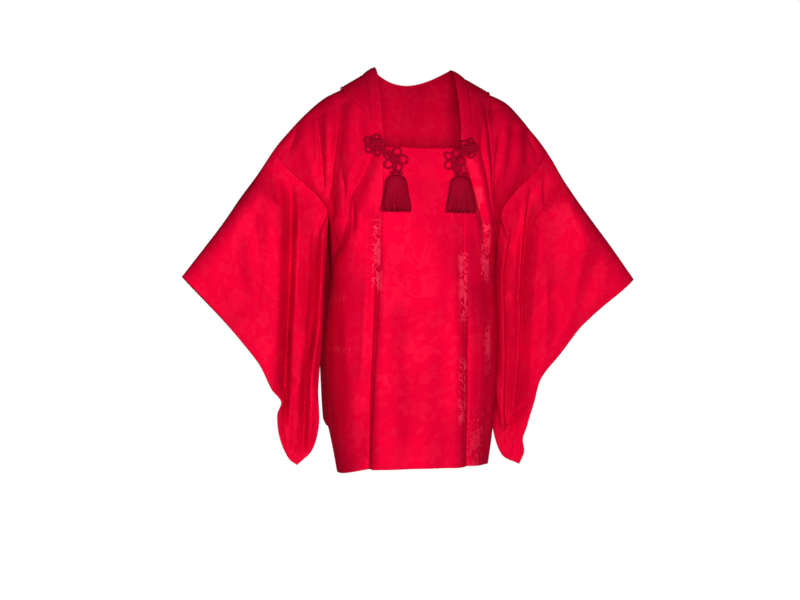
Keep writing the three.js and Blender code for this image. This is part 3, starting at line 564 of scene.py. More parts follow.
def sleeve_point(name, across, along, layer):
    """A place on one layer of the sleeve: across from the body, along from the arm's top."""
    side = SIDES[name]
    flat = sleeve_flat(side, across, along)
    reach = lerp(ARMHOLE_REACH, side["outer"]["reach"][0], across)
    fore = lerp(column(side["ridge"], "reach", "fore", reach), lerp(*side["tail"], across), along)
    roll_over = lerp(ARMHOLE_SHARE * SLEEVE_LENGTH, ARM_ROLL, smooth(across / ROLL_SHARE))
    rolled = 1 - np.minimum(along * SLEEVE_LENGTH / roll_over, 1)
    half = sleeve_fullness(across, along) * np.sqrt(1 - rolled * rolled)
    settled = smooth(along / CALM_EDGE) * smooth(across / ARMHOLE_CALM)
    x, drop = flat[..., 0], flat[..., 1]
    edge_room = smooth((1 - across) / CALM_EDGE) * smooth((1 - along) / CUFF_CALM)
    # Each layer sinks in by itself where there is room, and both move together for the rest.
    whole = fine_depth(SLEEVE_FINE[name], x, drop, leaning=True) * edge_room
    own = np.minimum(whole * smooth(half / OWN_FOLD_ROOM), OWN_FOLD_SHARE * half)
    shift = broad_depth(SLEEVE_FOLDS[name], x, drop) + whole - own
    swell = unevenness(x, drop, side["sign"] + 0.3 * layer) * smooth(half / SWELL_ROOM) * edge_room
    y = -fore + layer * half + shift * settled - layer * (own + swell) * settled
    seam_level = np.arccos(np.clip(1 - along / ARMHOLE_SHARE, 0, 1)) * 2 / math.pi
    front, back = (
        body_point(side, np.ones_like(along), seam_level, face)[..., 1] for face in (FRONT, BACK)
    )
    from_seam = lerp(np.where(layer < 0, front, back), y, smooth(across / ARMHOLE_TURN))
    y = np.where(along <= ARMHOLE_SHARE, from_seam, y)
    near_corner = smooth((along / ARMHOLE_SHARE - CORNER_START) / (1 - CORNER_START))
    parting = 2 * SEWN + CORNER_PARTING * near_corner
    return np.stack([side["sign"] * (x + parting * (1 - across)), y, -drop], -1)


# ---- Meshes ----
def grid_mesh(name, columns, rows, place, closed_across=False):
    """A bmesh grid whose points are moved to place(u, v); its UV map holds the cloth's own metres."""
    bm = bmesh.new()
    bmesh.ops.create_grid(bm, x_segments=columns, y_segments=rows, size=0.5)
    mesh = bpy.data.meshes.new(name)
    bm.to_mesh(mesh)
    flat = np.zeros(len(mesh.vertices) * 3, np.float32)
    mesh.vertices.foreach_get("co", flat)
    uv = flat.reshape(-1, 3)[:, :2].astype(float) + 0.5
    points, cloth, figured = place(uv[:, 0], uv[:, 1])
    mesh.vertices.foreach_set("co", (points * MM).astype(np.float32).ravel())
    corners = np.zeros(len(mesh.loops), np.int32)
    mesh.loops.foreach_get("vertex_index", corners)
    layer = mesh.uv_layers.new(name="cloth")
    layer.data.foreach_set("uv", cloth[corners].astype(np.float32).ravel())
    bm.clear()
    bm.from_mesh(mesh)
    if closed_across:
        bmesh.ops.remove_doubles(bm, verts=bm.verts, dist=1e-6)
    bmesh.ops.recalc_face_normals(bm, faces=bm.faces)
    for face in bm.faces:
        face.smooth = True
    bm.to_mesh(mesh)
    bm.free()
    # The figured attribute carries the figure strength, with painted sheen on the front.
    if figured is not None:
        attribute = mesh.attributes.new("figured", "FLOAT", "POINT")
        attribute.data.foreach_set("value", figured.astype(np.float32))
    return mesh


def add_to_scene(name, data, place=(0, 0, 0)):
    thing = bpy.data.objects.new(name, data)
    thing.location = place
    bpy.context.scene.collection.objects.link(thing)
    return thing


def add_piece(name, mesh, material, slot, *replaces):
    piece = add_to_scene(name, mesh)
    mesh.materials.append(material)
    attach(piece, "root")
    if replaces:
        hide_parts(*replaces)
    return piece


def cloth_piece(name, columns, rows, place, node):
    """A sheet of silk with its thickness, standing in for one solid of the coat."""
    piece = add_piece(name, grid_mesh(name, columns, rows, place), figured_silk(), "silk", node)
    wall = piece.modifiers.new("thickness", "SOLIDIFY")
    wall.thickness = WALL * MM
    wall.offset = 0
    shading = piece.modifiers.new("edge shading", "WEIGHTED_NORMAL")
    shading.weight = 100
    return piece


def fades_in(inside, half):
    return smooth((inside + half) / (2 * half))


def figures_and_painted_sheen_at(points):
    """How strongly the figures show at places on the front, raised by painted sheen where they catch
    the light best.
    """
    x, drop = points[:, 0], -points[:, 2]
    total = np.full_like(x, FIGURES_FAINT)
    for x0, top, x1, foot, strength in zip(*FRONT_PAINTED_SHEEN.values()):
        sides = fades_in(x - x0, PATCH_FADE_ACROSS) * fades_in(x1 - x, PATCH_FADE_ACROSS)
        inside = sides * fades_in(drop - top, PATCH_FADE_DOWN)
        inside = inside * fades_in(foot - drop, PATCH_FADE_DOWN)
        total = np.maximum(total, strength * inside)
    return total


def body_place(name):
    side = SIDES[name]
    parting = SEWN / NECK_HALF * NECK_SHARE

    def place(u, v):
        level = np.abs(2 * v - 1) * 2
        front = v < 0.5
        neck_curve = np.sqrt(np.maximum(1 - (level / NECK_BACK) ** 2, 0))
        inner = (NECK_SHARE + parting) * np.where(front, 1, neck_curve)
        share = lerp(inner, 1, u)
        groove = -SEAM_DIP * np.exp(-((share / SEAM_DIP_SHARE) ** 2)) * (1 - neck_curve)
        ahead = cloth_point(side, share, level, FRONT)
        points = np.where(front[:, None], ahead, cloth_point(side, share, level, BACK, groove))
        fall = np.where(level < 1, level * SHOULDER_RUN, SHOULDER_RUN + (level - 1) * SKIRT_RUN)
        cloth = np.stack([side["sign"] * share * BODY_RUN, np.where(front, -fall, fall)], -1)
        # The front's figures carry painted sheen where they catch the light best.
        return points, cloth, np.where(front, figures_and_painted_sheen_at(points), FIGURES_BACK)

    return place


def overlap_upper_place(u, v):
    level = lerp(2, NECK_LEVEL + NECKLINE_FOLD, v)
    free = lerp(FREE_EDGE_TOP, FREE_EDGE_HEM, smooth((level - 0.7) / 1.3))
    x = lerp(-free, NECK_HALF - SEWN, u)
    points = front_point(x, level, upper_panel_out(x, level))
    # The upper panel's figures carry painted sheen where they catch the light best.
    return points, np.stack([x * MM, points[:, 2] * MM], -1), figures_and_painted_sheen_at(points)


def overlap_under_place(u, v):
    level = lerp(2, NECK_LEVEL + NECKLINE_FOLD, v)
    x = lerp(-NECK_HALF + SEWN, UNDER_EDGE, u)
    points = front_point(x, level, -LAYER * smooth((x - UNDER_EDGE + 2 * STEP_IN) / STEP_IN))
    return points, np.stack([x * MM, points[:, 2] * MM], -1), np.full(len(x), FIGURES_UNDER)


def collar_place(start, end):
    """The band or the collar: a part of the width that both have together."""
    def place(u, v):
        t, width = lerp(-2, 2, v), lerp(start, end, u)
        relief = -sum(
            depth * np.exp(-((width - at) / half) ** 2) for at, depth, half in COLLAR_LINES
        )
        cloth = np.stack([width * COLLAR_RUN, t * COLLAR_TURN_RUN], -1)
        return collar_point(t, width, relief), cloth, np.full(len(u), FIGURES_USUAL)

    return place


def sleeve_place(name):
    side = SIDES[name]

    def place(u, v):
        turn = 2 * v - 1
        along = np.abs(turn) ** TOP_CROWDING
        layer = np.where(turn < 0, FRONT, BACK)
        points = sleeve_point(name, u, along, layer)
        across = side["sign"] * (BODY_RUN + u * SLEEVE_RUN)
        cloth = np.stack([across, np.sign(turn) * along * SLEEVE_DROP_RUN], -1)
        return points, cloth, np.full(len(u), FIGURES_USUAL)

    return place


# ---- Materials ----
PETALS = 5
OUTLINE_SHARPNESS = 900.0  # how fast a figure fades in at its outline, for each metre
LEAF_HALF = 0.38           # half a leaf's width, as a share of its reach
# Shares of the cord colour for its painted groove shade and painted crest highlight.
CORD_PAINTED_GROOVE_SHADE, CORD_PAINTED_CREST_HIGHLIGHT = 0.4, 1.15


class Graph:
    """Adds nodes to a tree, with their inputs set or linked by name."""

    def __init__(self, tree):
        self.tree = tree

    def add(self, kind, inputs=None, **settings):
        node = self.tree.nodes.new("ShaderNode" + kind)
        for key, value in settings.items():
            setattr(node, key, value)
        for key, value in (inputs or {}).items():
            socket = node.inputs[key]
            if isinstance(value, bpy.types.NodeSocket):
                self.tree.links.new(value, socket)
            else:
                socket.default_value = value
        return node

    def math(self, operation, *values, clamp=False):
        node = self.add("Math", dict(enumerate(values)), operation=operation, use_clamp=clamp)
        return node.outputs[0]

    def scaled(self, value, factor, more, clamp=False):
        return self.math("MULTIPLY_ADD", value, factor, more, clamp=clamp)

    def times(self, first, *others):
        """The product of two or more values."""
        for value in others:
            first = self.math("MULTIPLY", first, value)
        return first

    def away(self, value, middle):
        """The distance between two numbers."""
        return self.math("ABSOLUTE", self.math("SUBTRACT", value, middle))

    def noise(self, vector, scale, detail=1.0):
        inputs = {"Vector": vector, "Scale": scale, "Detail": detail}
        return self.add("TexNoise", inputs, noise_dimensions="2D").outputs[0]

    def vector(self, operation, *values):
        node = self.add("VectorMath", dict(enumerate(values)), operation=operation)
        return node.outputs[1 if operation == "LENGTH" else 0]

    def mix(self, share, a, b):
        node = self.add("Mix", {0: share, 6: a, 7: b}, data_type="RGBA")
        return node.outputs[2]


def new_group(name, inputs, outputs):
    """A node group with named sockets. Returns its tree, its graph and its group input's outputs."""
    tree = bpy.data.node_groups.new(name, "ShaderNodeTree")
    for label, kind, default in inputs:
        socket = tree.interface.new_socket(label, in_out="INPUT", socket_type="NodeSocket" + kind)
        if default is not None:
            socket.default_value = default
    for label, kind in outputs:
        tree.interface.new_socket(label, in_out="OUTPUT", socket_type="NodeSocket" + kind)
    source = tree.nodes.new("NodeGroupInput")
    return tree, Graph(tree), source.outputs


def finish_group(tree, values):
    sink = tree.nodes.new("NodeGroupOutput")
    for key, value in values.items():
        tree.links.new(value, sink.inputs[key])
    return tree


def local_place(g, given, shift):
    """The vector from the nearest of the scattered centres, with three random numbers for it."""
    moved = g.vector("ADD", given["Vector"], shift)
    scale = g.math("DIVIDE", 1.0, given["Cell"])
    inputs = {"Vector": moved, "Scale": scale, "Randomness": 0.75}
    cells = g.add("TexVoronoi", inputs, voronoi_dimensions="2D").outputs
    local = g.vector("SUBTRACT", moved, cells["Position"])
    parts = g.add("SeparateXYZ", {0: local})
    chance = g.add("SeparateColor", {0: cells["Color"]})
    return local, parts.outputs, chance.outputs


def figure_group(name, cell, reach):
    """A group for one kind of scattered figure: centres a cell apart, each reaching out so far."""
    inputs = [("Vector", "Vector", None), ("Cell", "Float", cell), ("Reach", "Float", reach)]
    return new_group(name, inputs, [("Mask", "Float")])


def blossom_group():
    """Five-petalled blossoms scattered over the cloth."""
    tree, g, given = figure_group("Blossoms", 0.058, 0.024)
    local, parts, chance = local_place(g, given, (0.013, 0.021, 0))
    angle = g.math("ARCTAN2", parts[1], parts[0])
    radius = g.vector("LENGTH", local)
    phase = g.scaled(angle, PETALS / 2, g.times(chance[0], FULL_TURN))
    lobes = g.math("ABSOLUTE", g.math("COSINE", phase))
    size = g.times(given["Reach"], g.scaled(chance[1], 0.4, 0.65))
    limit = g.times(size, g.scaled(lobes, 0.38, 0.62))
    inside = g.scaled(g.math("SUBTRACT", limit, radius), OUTLINE_SHARPNESS, 0.5, clamp=True)
    ring = g.scaled(g.away(radius, g.times(limit, 0.34)), 1100.0, -0.4, clamp=True)
    parting = g.math("MULTIPLY", g.times(radius, lobes), 420.0, clamp=True)
    there = g.math("GREATER_THAN", chance[2], 0.3)
    return finish_group(tree, {"Mask": g.times(inside, ring, g.times(parting, there))})


def leaf_group():
    """Pointed leaves that lie every way."""
    tree, g, given = figure_group("Leaves", 0.027, 0.012)
    _, parts, chance = local_place(g, given, (0.31, 0.17, 0))
    turn = g.times(chance[0], FULL_TURN)
    sine, cosine = g.math("SINE", turn), g.math("COSINE", turn)
    x = g.math("ADD", g.times(parts[0], cosine), g.times(parts[1], sine))
    y = g.math("SUBTRACT", g.times(parts[1], cosine), g.times(parts[0], sine))
    x, y = g.math("DIVIDE", x, given["Reach"]), g.math("ABSOLUTE", y)
    half = g.times(given["Reach"], g.math("SUBTRACT", LEAF_HALF, g.times(x, x, LEAF_HALF)))
    inside = g.scaled(g.math("SUBTRACT", half, y), OUTLINE_SHARPNESS, 0.5, clamp=True)
    vein = g.math("MULTIPLY", y, 1500.0, clamp=True)
    there = g.math("GREATER_THAN", chance[1], 0.25)
    return finish_group(tree, {"Mask": g.times(inside, vein, there)})


def lines_in(g, vector, scale, steepness, reach):
    """Thin wandering lines: the middle of a noise."""
    return g.scaled(g.away(g.noise(vector, scale), 0.5), steepness, reach, clamp=True)


def damask_group():
    """Satin figures on a finely ribbed ground, in fields of slightly unlike tone."""
    inputs = [
        ("Vector", "Vector", None), ("Figures_and_painted_sheen", "Float", 0.3), ("Ground", "Color", None),
        ("Figure", "Color", None),
    ]
    outputs = [("Color", "Color"), ("Roughness", "Float"), ("Gloss", "Float"), ("Height", "Float")]
    tree, g, given = new_group("Self-figured silk", inputs, outputs)
    vector, figured = given["Vector"], given["Figures_and_painted_sheen"]

    # The figures, and how far they show, which on the front carries painted sheen.
    flowers, foliage = (
        g.add("Group", {"Vector": vector}, node_tree=group).outputs[0]
        for group in (blossom_group(), leaf_group())
    )
    stem = lines_in(g, vector, 17.0, -70.0, 1.3)
    curl = lines_in(g, vector, 74.0, -30.0, 1.4)
    figure = g.math("MAXIMUM", flowers, g.math("MAXIMUM", foliage, stem))
    figure = g.math("MAXIMUM", g.times(figure, 0.6), g.times(curl, figured))
    field = g.vector("FLOOR", g.vector("MULTIPLY", vector, (11.4, 7.9, 0)))
    tone = g.add("TexWhiteNoise", {"Vector": field}, noise_dimensions="2D").outputs["Value"]
    cloud = g.noise(vector, 9.0, 2.0)
    shown = g.scaled(tone, 0.3, g.scaled(cloud, 0.9, -0.25), clamp=True)
    figure = g.times(figure, g.math("MAXIMUM", g.times(shown, 0.26), figured))

    # The ground: uneven threads across, ribs aslant and a fine mottle.
    slub = g.noise(g.vector("MULTIPLY", vector, (900.0, 260.0, 0)), 1.0, 2.0)
    mottle = g.noise(vector, 330.0, 2.0)
    parts = g.add("SeparateXYZ", {0: vector}).outputs
    rib = g.math("SINE", g.times(g.math("ADD", parts[0], g.times(parts[1], 0.6)), 5200.0))
    grain = g.math("ADD", g.times(slub, -0.12), g.times(mottle, -0.5))
    grain = g.math("ADD", grain, g.scaled(cloud, 0.36, -0.18))
    dark = g.math("ADD", g.scaled(tone, -0.11, 1.355), grain)
    shade = g.add("CombineColor", {0: dark, 1: dark, 2: dark}).outputs[0]
    inputs = {0: 1.0, 6: given["Ground"], 7: shade}
    ground = g.add("Mix", inputs, data_type="RGBA", blend_type="MULTIPLY").outputs[2]

    return finish_group(tree, {
        "Color": g.mix(g.times(figure, 0.95), ground, given["Figure"]),
        "Roughness": g.scaled(figure, -0.1, g.scaled(slub, 0.08, 0.66)),
        "Gloss": g.scaled(figure, -0.34, 0.36),
        "Height": g.scaled(figure, 0.5, g.scaled(rib, 0.05, g.times(slub, 0.3))),
    })


def new_material(name):
    material = bpy.data.materials.new(name)
    material.use_nodes = True
    tree = material.node_tree
    tree.nodes.clear()
    return material, Graph(tree)


def output_surface(g, shader):
    g.add("OutputMaterial", {"Surface": shader.outputs[0]})


def figured_silk():
    """The coat's crimson silk, made once."""
    if "figured silk" in bpy.data.materials:
        return bpy.data.materials["figured silk"]
    silk = bpy.context.scene.coat_silk
    material, g = new_material("figured silk")
    cloth = g.add("UVMap", uv_map="cloth").outputs[0]
    # The figured attribute: figure strength, with painted sheen on the front.
    figured = g.add("Attribute", attribute_name="figured").outputs["Fac"]
    damask = g.add("Group", {
        "Vector": cloth, "Figures_and_painted_sheen": figured, "Ground": (*silk.ground, 1), "Figure": (*silk.figure, 1),
    }, node_tree=damask_group()).outputs
    bump = g.add("Bump", {"Strength": 0.6, "Distance": silk.relief, "Height": damask["Height"]})
    shader = g.add("BsdfPrincipled", {
        "Base Color": damask["Color"], "Roughness": damask["Roughness"], "Metallic": damask["Gloss"],
        "Specular IOR Level": 0.01, "Normal": bump.outputs[0],
    })
    output_surface(g, shader)
    return material


def spun_cord(name="silk cord", twist=2600.0, shade=1.0):
    """Spun silk with its strands twisted round, along the piece's own UV map."""
    if name in bpy.data.materials:
        return bpy.data.materials[name]
    cords = bpy.context.scene.coat_cords
    material, g = new_material(name)
    vector = g.add("UVMap", uv_map="cloth").outputs[0]
    parts = g.add("SeparateXYZ", {0: vector}).outputs
    strand = g.scaled(parts[0], FULL_TURN * 3, g.times(parts[1], twist))
    ply = g.math("ABSOLUTE", g.math("SINE", strand))
    fibre = g.noise(g.vector("MULTIPLY", vector, (14.0, 700.0, 0)), 1.0, 2.0)
    level = g.scaled(ply, 0.5, g.scaled(fibre, 0.5, 0.4))
    # Painted shade in the grooves between the twisted strands and painted highlight on their crests,
    # with random fibre tone.
    dark, light = (
        tuple(c * part * shade for c in cords.color) + (1,) for part in (CORD_PAINTED_GROOVE_SHADE, CORD_PAINTED_CREST_HIGHLIGHT)
    )
    color = g.mix(g.math("MULTIPLY", level, 0.9, clamp=True), dark, light)
    bump = g.add("Bump", {"Strength": 0.7, "Distance": 0.0006, "Height": level})
    shader = g.add("BsdfPrincipled", {
        "Base Color": color, "Roughness": 0.6, "Specular IOR Level": 0.02, "Normal": bump.outputs[0],
    })
    output_surface(g, shader)
    return material


# ---- Cords, knots and tassels ----
def frames_along(path, closed):
    """Sideways directions along a path that turn as little as they can."""
    after = np.roll(path, -1, 0) if closed else np.vstack([path[1:], path[-1:] * 2 - path[-2:-1]])
    before = np.roll(path, 1, 0) if closed else np.vstack([path[:1] * 2 - path[1:2], path[:-1]])
    tangent = after - before
    tangent /= np.linalg.norm(tangent, axis=1, keepdims=True)
    side = np.cross(tangent, (0.0, 1.0, 0.0))
    side /= np.maximum(np.linalg.norm(side, axis=1, keepdims=True), 1e-6)
    return side, np.cross(side, tangent)


def tube_place(path, radii, closed):
    """Wraps a grid round a path: u runs round it and v along it."""
    side, up = frames_along(path, closed)
    steps = np.linalg.norm(np.diff(path, axis=0), axis=1)
    length = np.concatenate([[0], np.cumsum(steps)])
    last = len(path) - 1

    def place(u, v):
        k = np.rint(v * (last + closed)).astype(int)
        i = k % (last + 1)
        angle = FULL_TURN * u
        turned = np.cos(angle)[:, None] * side[i] + np.sin(angle)[:, None] * up[i]
        points = path[i] + turned * radii[i][:, None]
        run = np.where(k > last, length[-1] + steps[0], length[i])
        return points, np.stack([u, run * MM], -1), None

    return place


def join_meshes(name, meshes):
    bm = bmesh.new()
    for mesh in meshes:
        bm.from_mesh(mesh)
        bpy.data.meshes.remove(mesh)
    whole = bpy.data.meshes.new(name)
    bm.to_mesh(whole)
    bm.free()
    return whole


def tube_mesh(name, path, radius, sides=10, closed=False):
    radii = np.broadcast_to(radius, len(path))
    rows = len(path) if closed else len(path) - 1
    return grid_mesh(name, sides, rows, tube_place(path, radii, closed), closed_across=True)


def flower_path(x, drop, radius, petals, inner, lift, turn, steps):
    """A cord that passes twice round the middle of a flower knot and loops out into its petals."""
    t = np.linspace(0, 1, steps, endpoint=False) * 4 * math.pi
    swing = petals / 2 * t
    away = radius * (inner + (1 - inner) * np.cos(swing))
    out = lift[0] + lift[1] * (1 + np.sin(swing))
    return on_front(x + away * np.cos(t + turn), drop - away * np.sin(t + turn), out)


def flower_knot(name, x, drop, radius, thick, node, within):
    """Two rounds of petals, the second within the first, and a plaited middle."""
    rounds = (
        ("petals", 1, PETALS, 0.56, (thick + 0.3, 2.3), 0.0, 220, 1),
        ("second", within, PETALS, 0.5, (thick + 2.6, 2.0), 0.63, 220, 0.85),
        ("core", 0.36, 3, 0.45, (thick + 5.4, 1.2), 0.3, 120, 0.9),
    )
    meshes = []
    for label, reach, petals, inner, lift, turn, steps, share in rounds:
        path = flower_path(x, drop, radius * reach, petals, inner, lift, turn, steps)
        meshes.append(tube_mesh(f"{name}_{label}", path, thick * share, closed=True))
    add_piece(name, join_meshes(name, meshes), spun_cord(), "cord", node)


def link_cords(name, stations, thick):
    """A doubled cord that runs from place to place over the front."""
    at, keys = np.linspace(0, 1, 40), np.linspace(0, 1, len(stations))
    x, drop, out = (np.interp(at, keys, values) for values in zip(*stations))
    dx, dd = stations[-1][0] - stations[0][0], stations[-1][1] - stations[0][1]
    run = math.hypot(dx, dd)
    meshes = []
    for shift in (-thick * DOUBLED, thick * DOUBLED):
        path = on_front(x + shift * dd / run, drop - shift * dx / run, out)
        meshes.append(tube_mesh(name + "_strand", path, thick))
    add_piece(name, join_meshes(name, meshes), spun_cord(), "cord")


def tassel_base(x):
    """Gives a function that places what belongs to a tassel about the tassel's own axis."""
    cover = np.maximum(upper_panel_out(float(x), 1.0), CORD_SEAT)
    stand = TASSEL_FOOT * TASSEL_FLATNESS + TASSEL_CLEARANCE + LAYER - cover

    def to_front(dx, fall, dz):
        below = on_front(np.full_like(fall, x), TASSEL_TOP_DROP + fall, 0.0)
        top = on_front(np.full(1, float(x)), np.full(1, TASSEL_TOP_DROP), 0.0)[0]
        y = np.minimum(top[1], below[:, 1]) - stand - dz
        return np.stack([x + dx, y, -(TASSEL_TOP_DROP + fall)], -1)

    return to_front


HEAD_FLUTE, HEAD_FLUTES = 0.6, 16  # depth and count of the head's flutes
STRAND_ROOT = TASSEL_SHOULDER - 3.5
STRAND_TOP, STRAND_LENGTH = 8, TASSEL_LENGTH - 9
STRANDS_ROUND = ((62, 1.0, 1.55), (38, 0.72, 1.6), (22, 0.36, 1.6))  # count, inset, radius
TASSEL_HEAD = table(
    "v radius fall", (0, 0, 0), (0.1, 7, 0.4), (0.22, 14, 2.6), (0.36, 19, 7.5), (0.5, 21.4, 14),
    (0.65, 23.4, 26), (0.82, 26, 46), (1, 27.8, 67),
)


def tassel_mesh(name, x, seed):
    to_front = tassel_base(x)
    rng = np.random.default_rng(seed)
    meshes = []

    def dome(u, v):
        radius = np.maximum(column(TASSEL_HEAD, "v", "radius", v), 0)
        fall = column(TASSEL_HEAD, "v", "fall", v)
        angle = FULL_TURN * u
        radius = radius - HEAD_FLUTE * np.abs(np.sin(angle * HEAD_FLUTES)) * smooth(v / 0.3)
        radius = np.maximum(radius, 0) * np.where(v > 0.999, 0.6, 1)
        points = to_front(radius * np.cos(angle), fall, radius * np.sin(angle) * TASSEL_FLATNESS)
        return points, np.stack([u * HEAD_FLUTES, fall * MM], -1), None

    meshes.append(grid_mesh(name + "_head", 96, 24, dome, closed_across=True))
    at = np.linspace(0, 1, 9)
    thinning = np.interp(at, [0, 0.2, 0.9, 1], [0.7, 0.95, 1, 0.35])
    for count, inset, thick in STRANDS_ROUND:
        spread = (lerp(STRAND_ROOT, TASSEL_FOOT, at ** 0.85) - thick) * inset
        for k in range(count):
            angle = FULL_TURN * (k + rng.uniform(-0.25, 0.25)) / count
            fall = STRAND_TOP + at * (STRAND_LENGTH + rng.uniform(-1.6, 0.6))
            waver = rng.uniform(-0.8, 0.8) * np.sin(at * math.pi * rng.uniform(1, 2))
            out = spread * math.sin(angle) * TASSEL_FLATNESS + 0.4 * waver
            path = to_front(spread * math.cos(angle) + waver, fall, out)
            meshes.append(tube_mesh(name + "_strand", path, thick * thinning, sides=4))
    return join_meshes(name, meshes)


TIE_TURNS, TIE_RADIUS = 3, 5.2
TIE_CORD, LOOP_CORD = 1.35, 1.3
BOW_LOOPS = (6.2, -5.4), (-3.2, -2.9), (5.5, 1.2)  # middle and swing: across, down and out


def tie_mesh(name, x):
    """The small knot over a tassel: a wound collar and a bow of two loops."""
    to_front = tassel_base(x)
    at = np.linspace(0, 1, 90)
    turns = FULL_TURN * TIE_TURNS * at
    wound = to_front(TIE_RADIUS * np.cos(turns), -4.5 + 5 * at, TIE_RADIUS * np.sin(turns))
    meshes = [tube_mesh(name + "_wound", wound, TIE_CORD, sides=8)]
    angle = np.linspace(0, FULL_TURN, 60, endpoint=False)
    turned = np.cos(angle), np.sin(angle), np.sin(angle * 2)
    across, fall, out = (middle + swing * t for (middle, swing), t in zip(BOW_LOOPS, turned))
    for way in (-1, 1):
        loop = to_front(way * across, fall, out)
        meshes.append(tube_mesh(name + "_loop", loop, LOOP_CORD, sides=8, closed=True))
    return join_meshes(name, meshes)


# ---- Properties ----
def tint(name, description, default):
    return FloatVectorProperty(
        name=name, description=description, subtype="COLOR", default=default, min=0, max=1,
    )


def amount(name, description, default, least=0, unit="NONE"):
    return FloatProperty(
        name=name, description=description, default=default, min=least, unit=unit,
    )


class CoatSilk(bpy.types.PropertyGroup):
    """Colours and relief of the silk"""

    ground: tint("Ground", "Colour of the silk's ground", (0.50, 0.0002, 0.022))
    figure: tint("Figure", "Colour of the woven figures", (0.64, 0.028, 0.070))
    relief: amount("Relief", "Height of the figures over the ground", 0.0004, unit="LENGTH")


class CoatCords(bpy.types.PropertyGroup):
    """Colour and thickness of the cords"""

    color: tint("Cord colour", "Colour of the spun silk cord", (0.225, 0.0006, 0.012))
    radius: amount("Cord radius", "Radius of the cord in the knots", 0.0021, 0.0005, "LENGTH")


class CoatStage(bpy.types.PropertyGroup):
    """Lights, floor and camera"""

    key: amount("Key light", "Power of the main lights", 50.0, unit="POWER")
    fill: amount("Fill light", "Power of the side lights", 3.0, unit="POWER")
    room: amount("Room light", "Strength of the light from all round", 0.04)
    lens: amount("Lens", "Focal length of the camera", 58.4, 1, "CAMERA")


# ---- Operators ----
class COAT_OT_body(bpy.types.Operator):
    """Makes the two lengths of cloth that go over the shoulders"""

    bl_idname = "coat.body"
    bl_label = "Body"

    def execute(self, context):
        for name in SIDES:
            piece = cloth_piece(f"{name}_body_cloth", 88, 320, body_place(name), f"body_{name}")
        return {"FINISHED"}


class COAT_OT_overlaps(bpy.types.Operator):
    """Makes the two panels that close the front"""

    bl_idname = "coat.overlaps"
    bl_label = "Overlap panels"

    def execute(self, context):
        upper = cloth_piece("upper_overlap_cloth", 60, 170, overlap_upper_place, "overlap_upper")
        under = cloth_piece("lower_overlap_cloth", 50, 150, overlap_under_place, "overlap_under")
        return {"FINISHED"}


class COAT_OT_collar(bpy.types.Operator):
    """Makes the neck band and the flat collar that falls on the shoulders"""

    bl_idname = "coat.collar"
    bl_label = "Neck band and collar"

    def execute(self, context):
        place = collar_place(0, BAND_SHARE - COLLAR_PARTING)
        band = cloth_piece("neck_band_cloth", 16, 260, place, "neck_band")
        place = collar_place(BAND_SHARE + COLLAR_PARTING, 1)
        collar = cloth_piece("fall_collar_cloth", 72, 260, place, "fall_collar")
        return {"FINISHED"}


class COAT_OT_sleeves(bpy.types.Operator):
    """Makes the two hanging sleeves"""

    bl_idname = "coat.sleeves"
    bl_label = "Sleeves"

    def execute(self, context):
        for name in SIDES:
            place = sleeve_place(name)
            piece = cloth_piece(f"{name}_sleeve_cloth", 124, 250, place, f"sleeve_{name}")
        return {"FINISHED"}


class COAT_OT_knots(bpy.types.Operator):
    """Ties the flower knots and the cords between them"""

    bl_idname = "coat.knots"
    bl_label = "Flower knots"

    def execute(self, context):
        thick = context.scene.coat_cords.radius / MM
        for name, side in SIDES.items():
            radius, tassel = side["knot_radius"], side["tassel"]
            outer, inner = side["knots"]
            flower_knot(f"{name}_outer_flower", *outer, radius, thick, f"knot_{name}_outer", 0.78)
            radius += INNER_KNOT_EXTRA
            flower_knot(f"{name}_inner_flower", *inner, radius, thick, f"knot_{name}_inner", 0.46)
            middle = ((outer[0] + inner[0]) / 2, (outer[1] + inner[1]) / 2, 4.5)
            link = [(*outer, 4.2), middle, (*inner, 4.2)]
            link_cords(f"{name}_knot_link", link, thick * LINK_SHARE)
            foot = [(*inner, 5.0), ((inner[0] + tassel) / 2, 232, 6.5), (tassel, 242, 10.0)]
            link_cords(f"{name}_tassel_link", foot, thick * LINK_SHARE)
        return {"FINISHED"}


class COAT_OT_tassels(bpy.types.Operator):
    """Hangs the tassels from their ties"""

    bl_idname = "coat.tassels"
    bl_label = "Tassels"

    def execute(self, context):
        for seed, (name, side) in enumerate(SIDES.items()):
            x = side["tassel"]
            bow, skirt = f"{name}_tassel_bow", f"{name}_tassel_skirt"
            add_piece(bow, tie_mesh(bow, x), spun_cord(), "cord", f"tassel_tie_{name}")
            thread = spun_cord("tassel thread", 300.0, 0.86)
            add_piece(skirt, tassel_mesh(skirt, x, seed + 3), thread, "cord", f"tassel_{name}")
        return {"FINISHED"}


# The stage, in metres and degrees.
FLOOR_RADIUS, FLOOR_DROP = 0.94, 1.36
LIGHTS_AIM = (0, 0, -0.44)
CAMERA_PLACE, CAMERA_TURN = (-0.584, -2.636, -0.489), 12


def add_floor():
    bm = bmesh.new()
    bmesh.ops.create_circle(bm, cap_ends=True, segments=96, radius=FLOOR_RADIUS)
    bmesh.ops.translate(bm, verts=bm.verts, vec=(0, 0, -FLOOR_DROP))
    mesh = bpy.data.meshes.new("floor")
    bm.to_mesh(mesh)
    bm.free()
    material, g = new_material("pale floor")
    place = g.add("TexCoord").outputs["Object"]
    grain = g.add("TexNoise", {"Vector": place, "Scale": 30.0, "Detail": 3.0}).outputs[0]
    tone = g.mix(grain, (0.86, 0.86, 0.86, 1), (0.9, 0.9, 0.9, 1))
    output_surface(g, g.add("BsdfPrincipled", {
        "Base Color": tone, "Roughness": 0.8, "Specular IOR Level": 0.1,
    }))
    mesh.materials.append(material)
    floor = add_to_scene("floor", mesh)


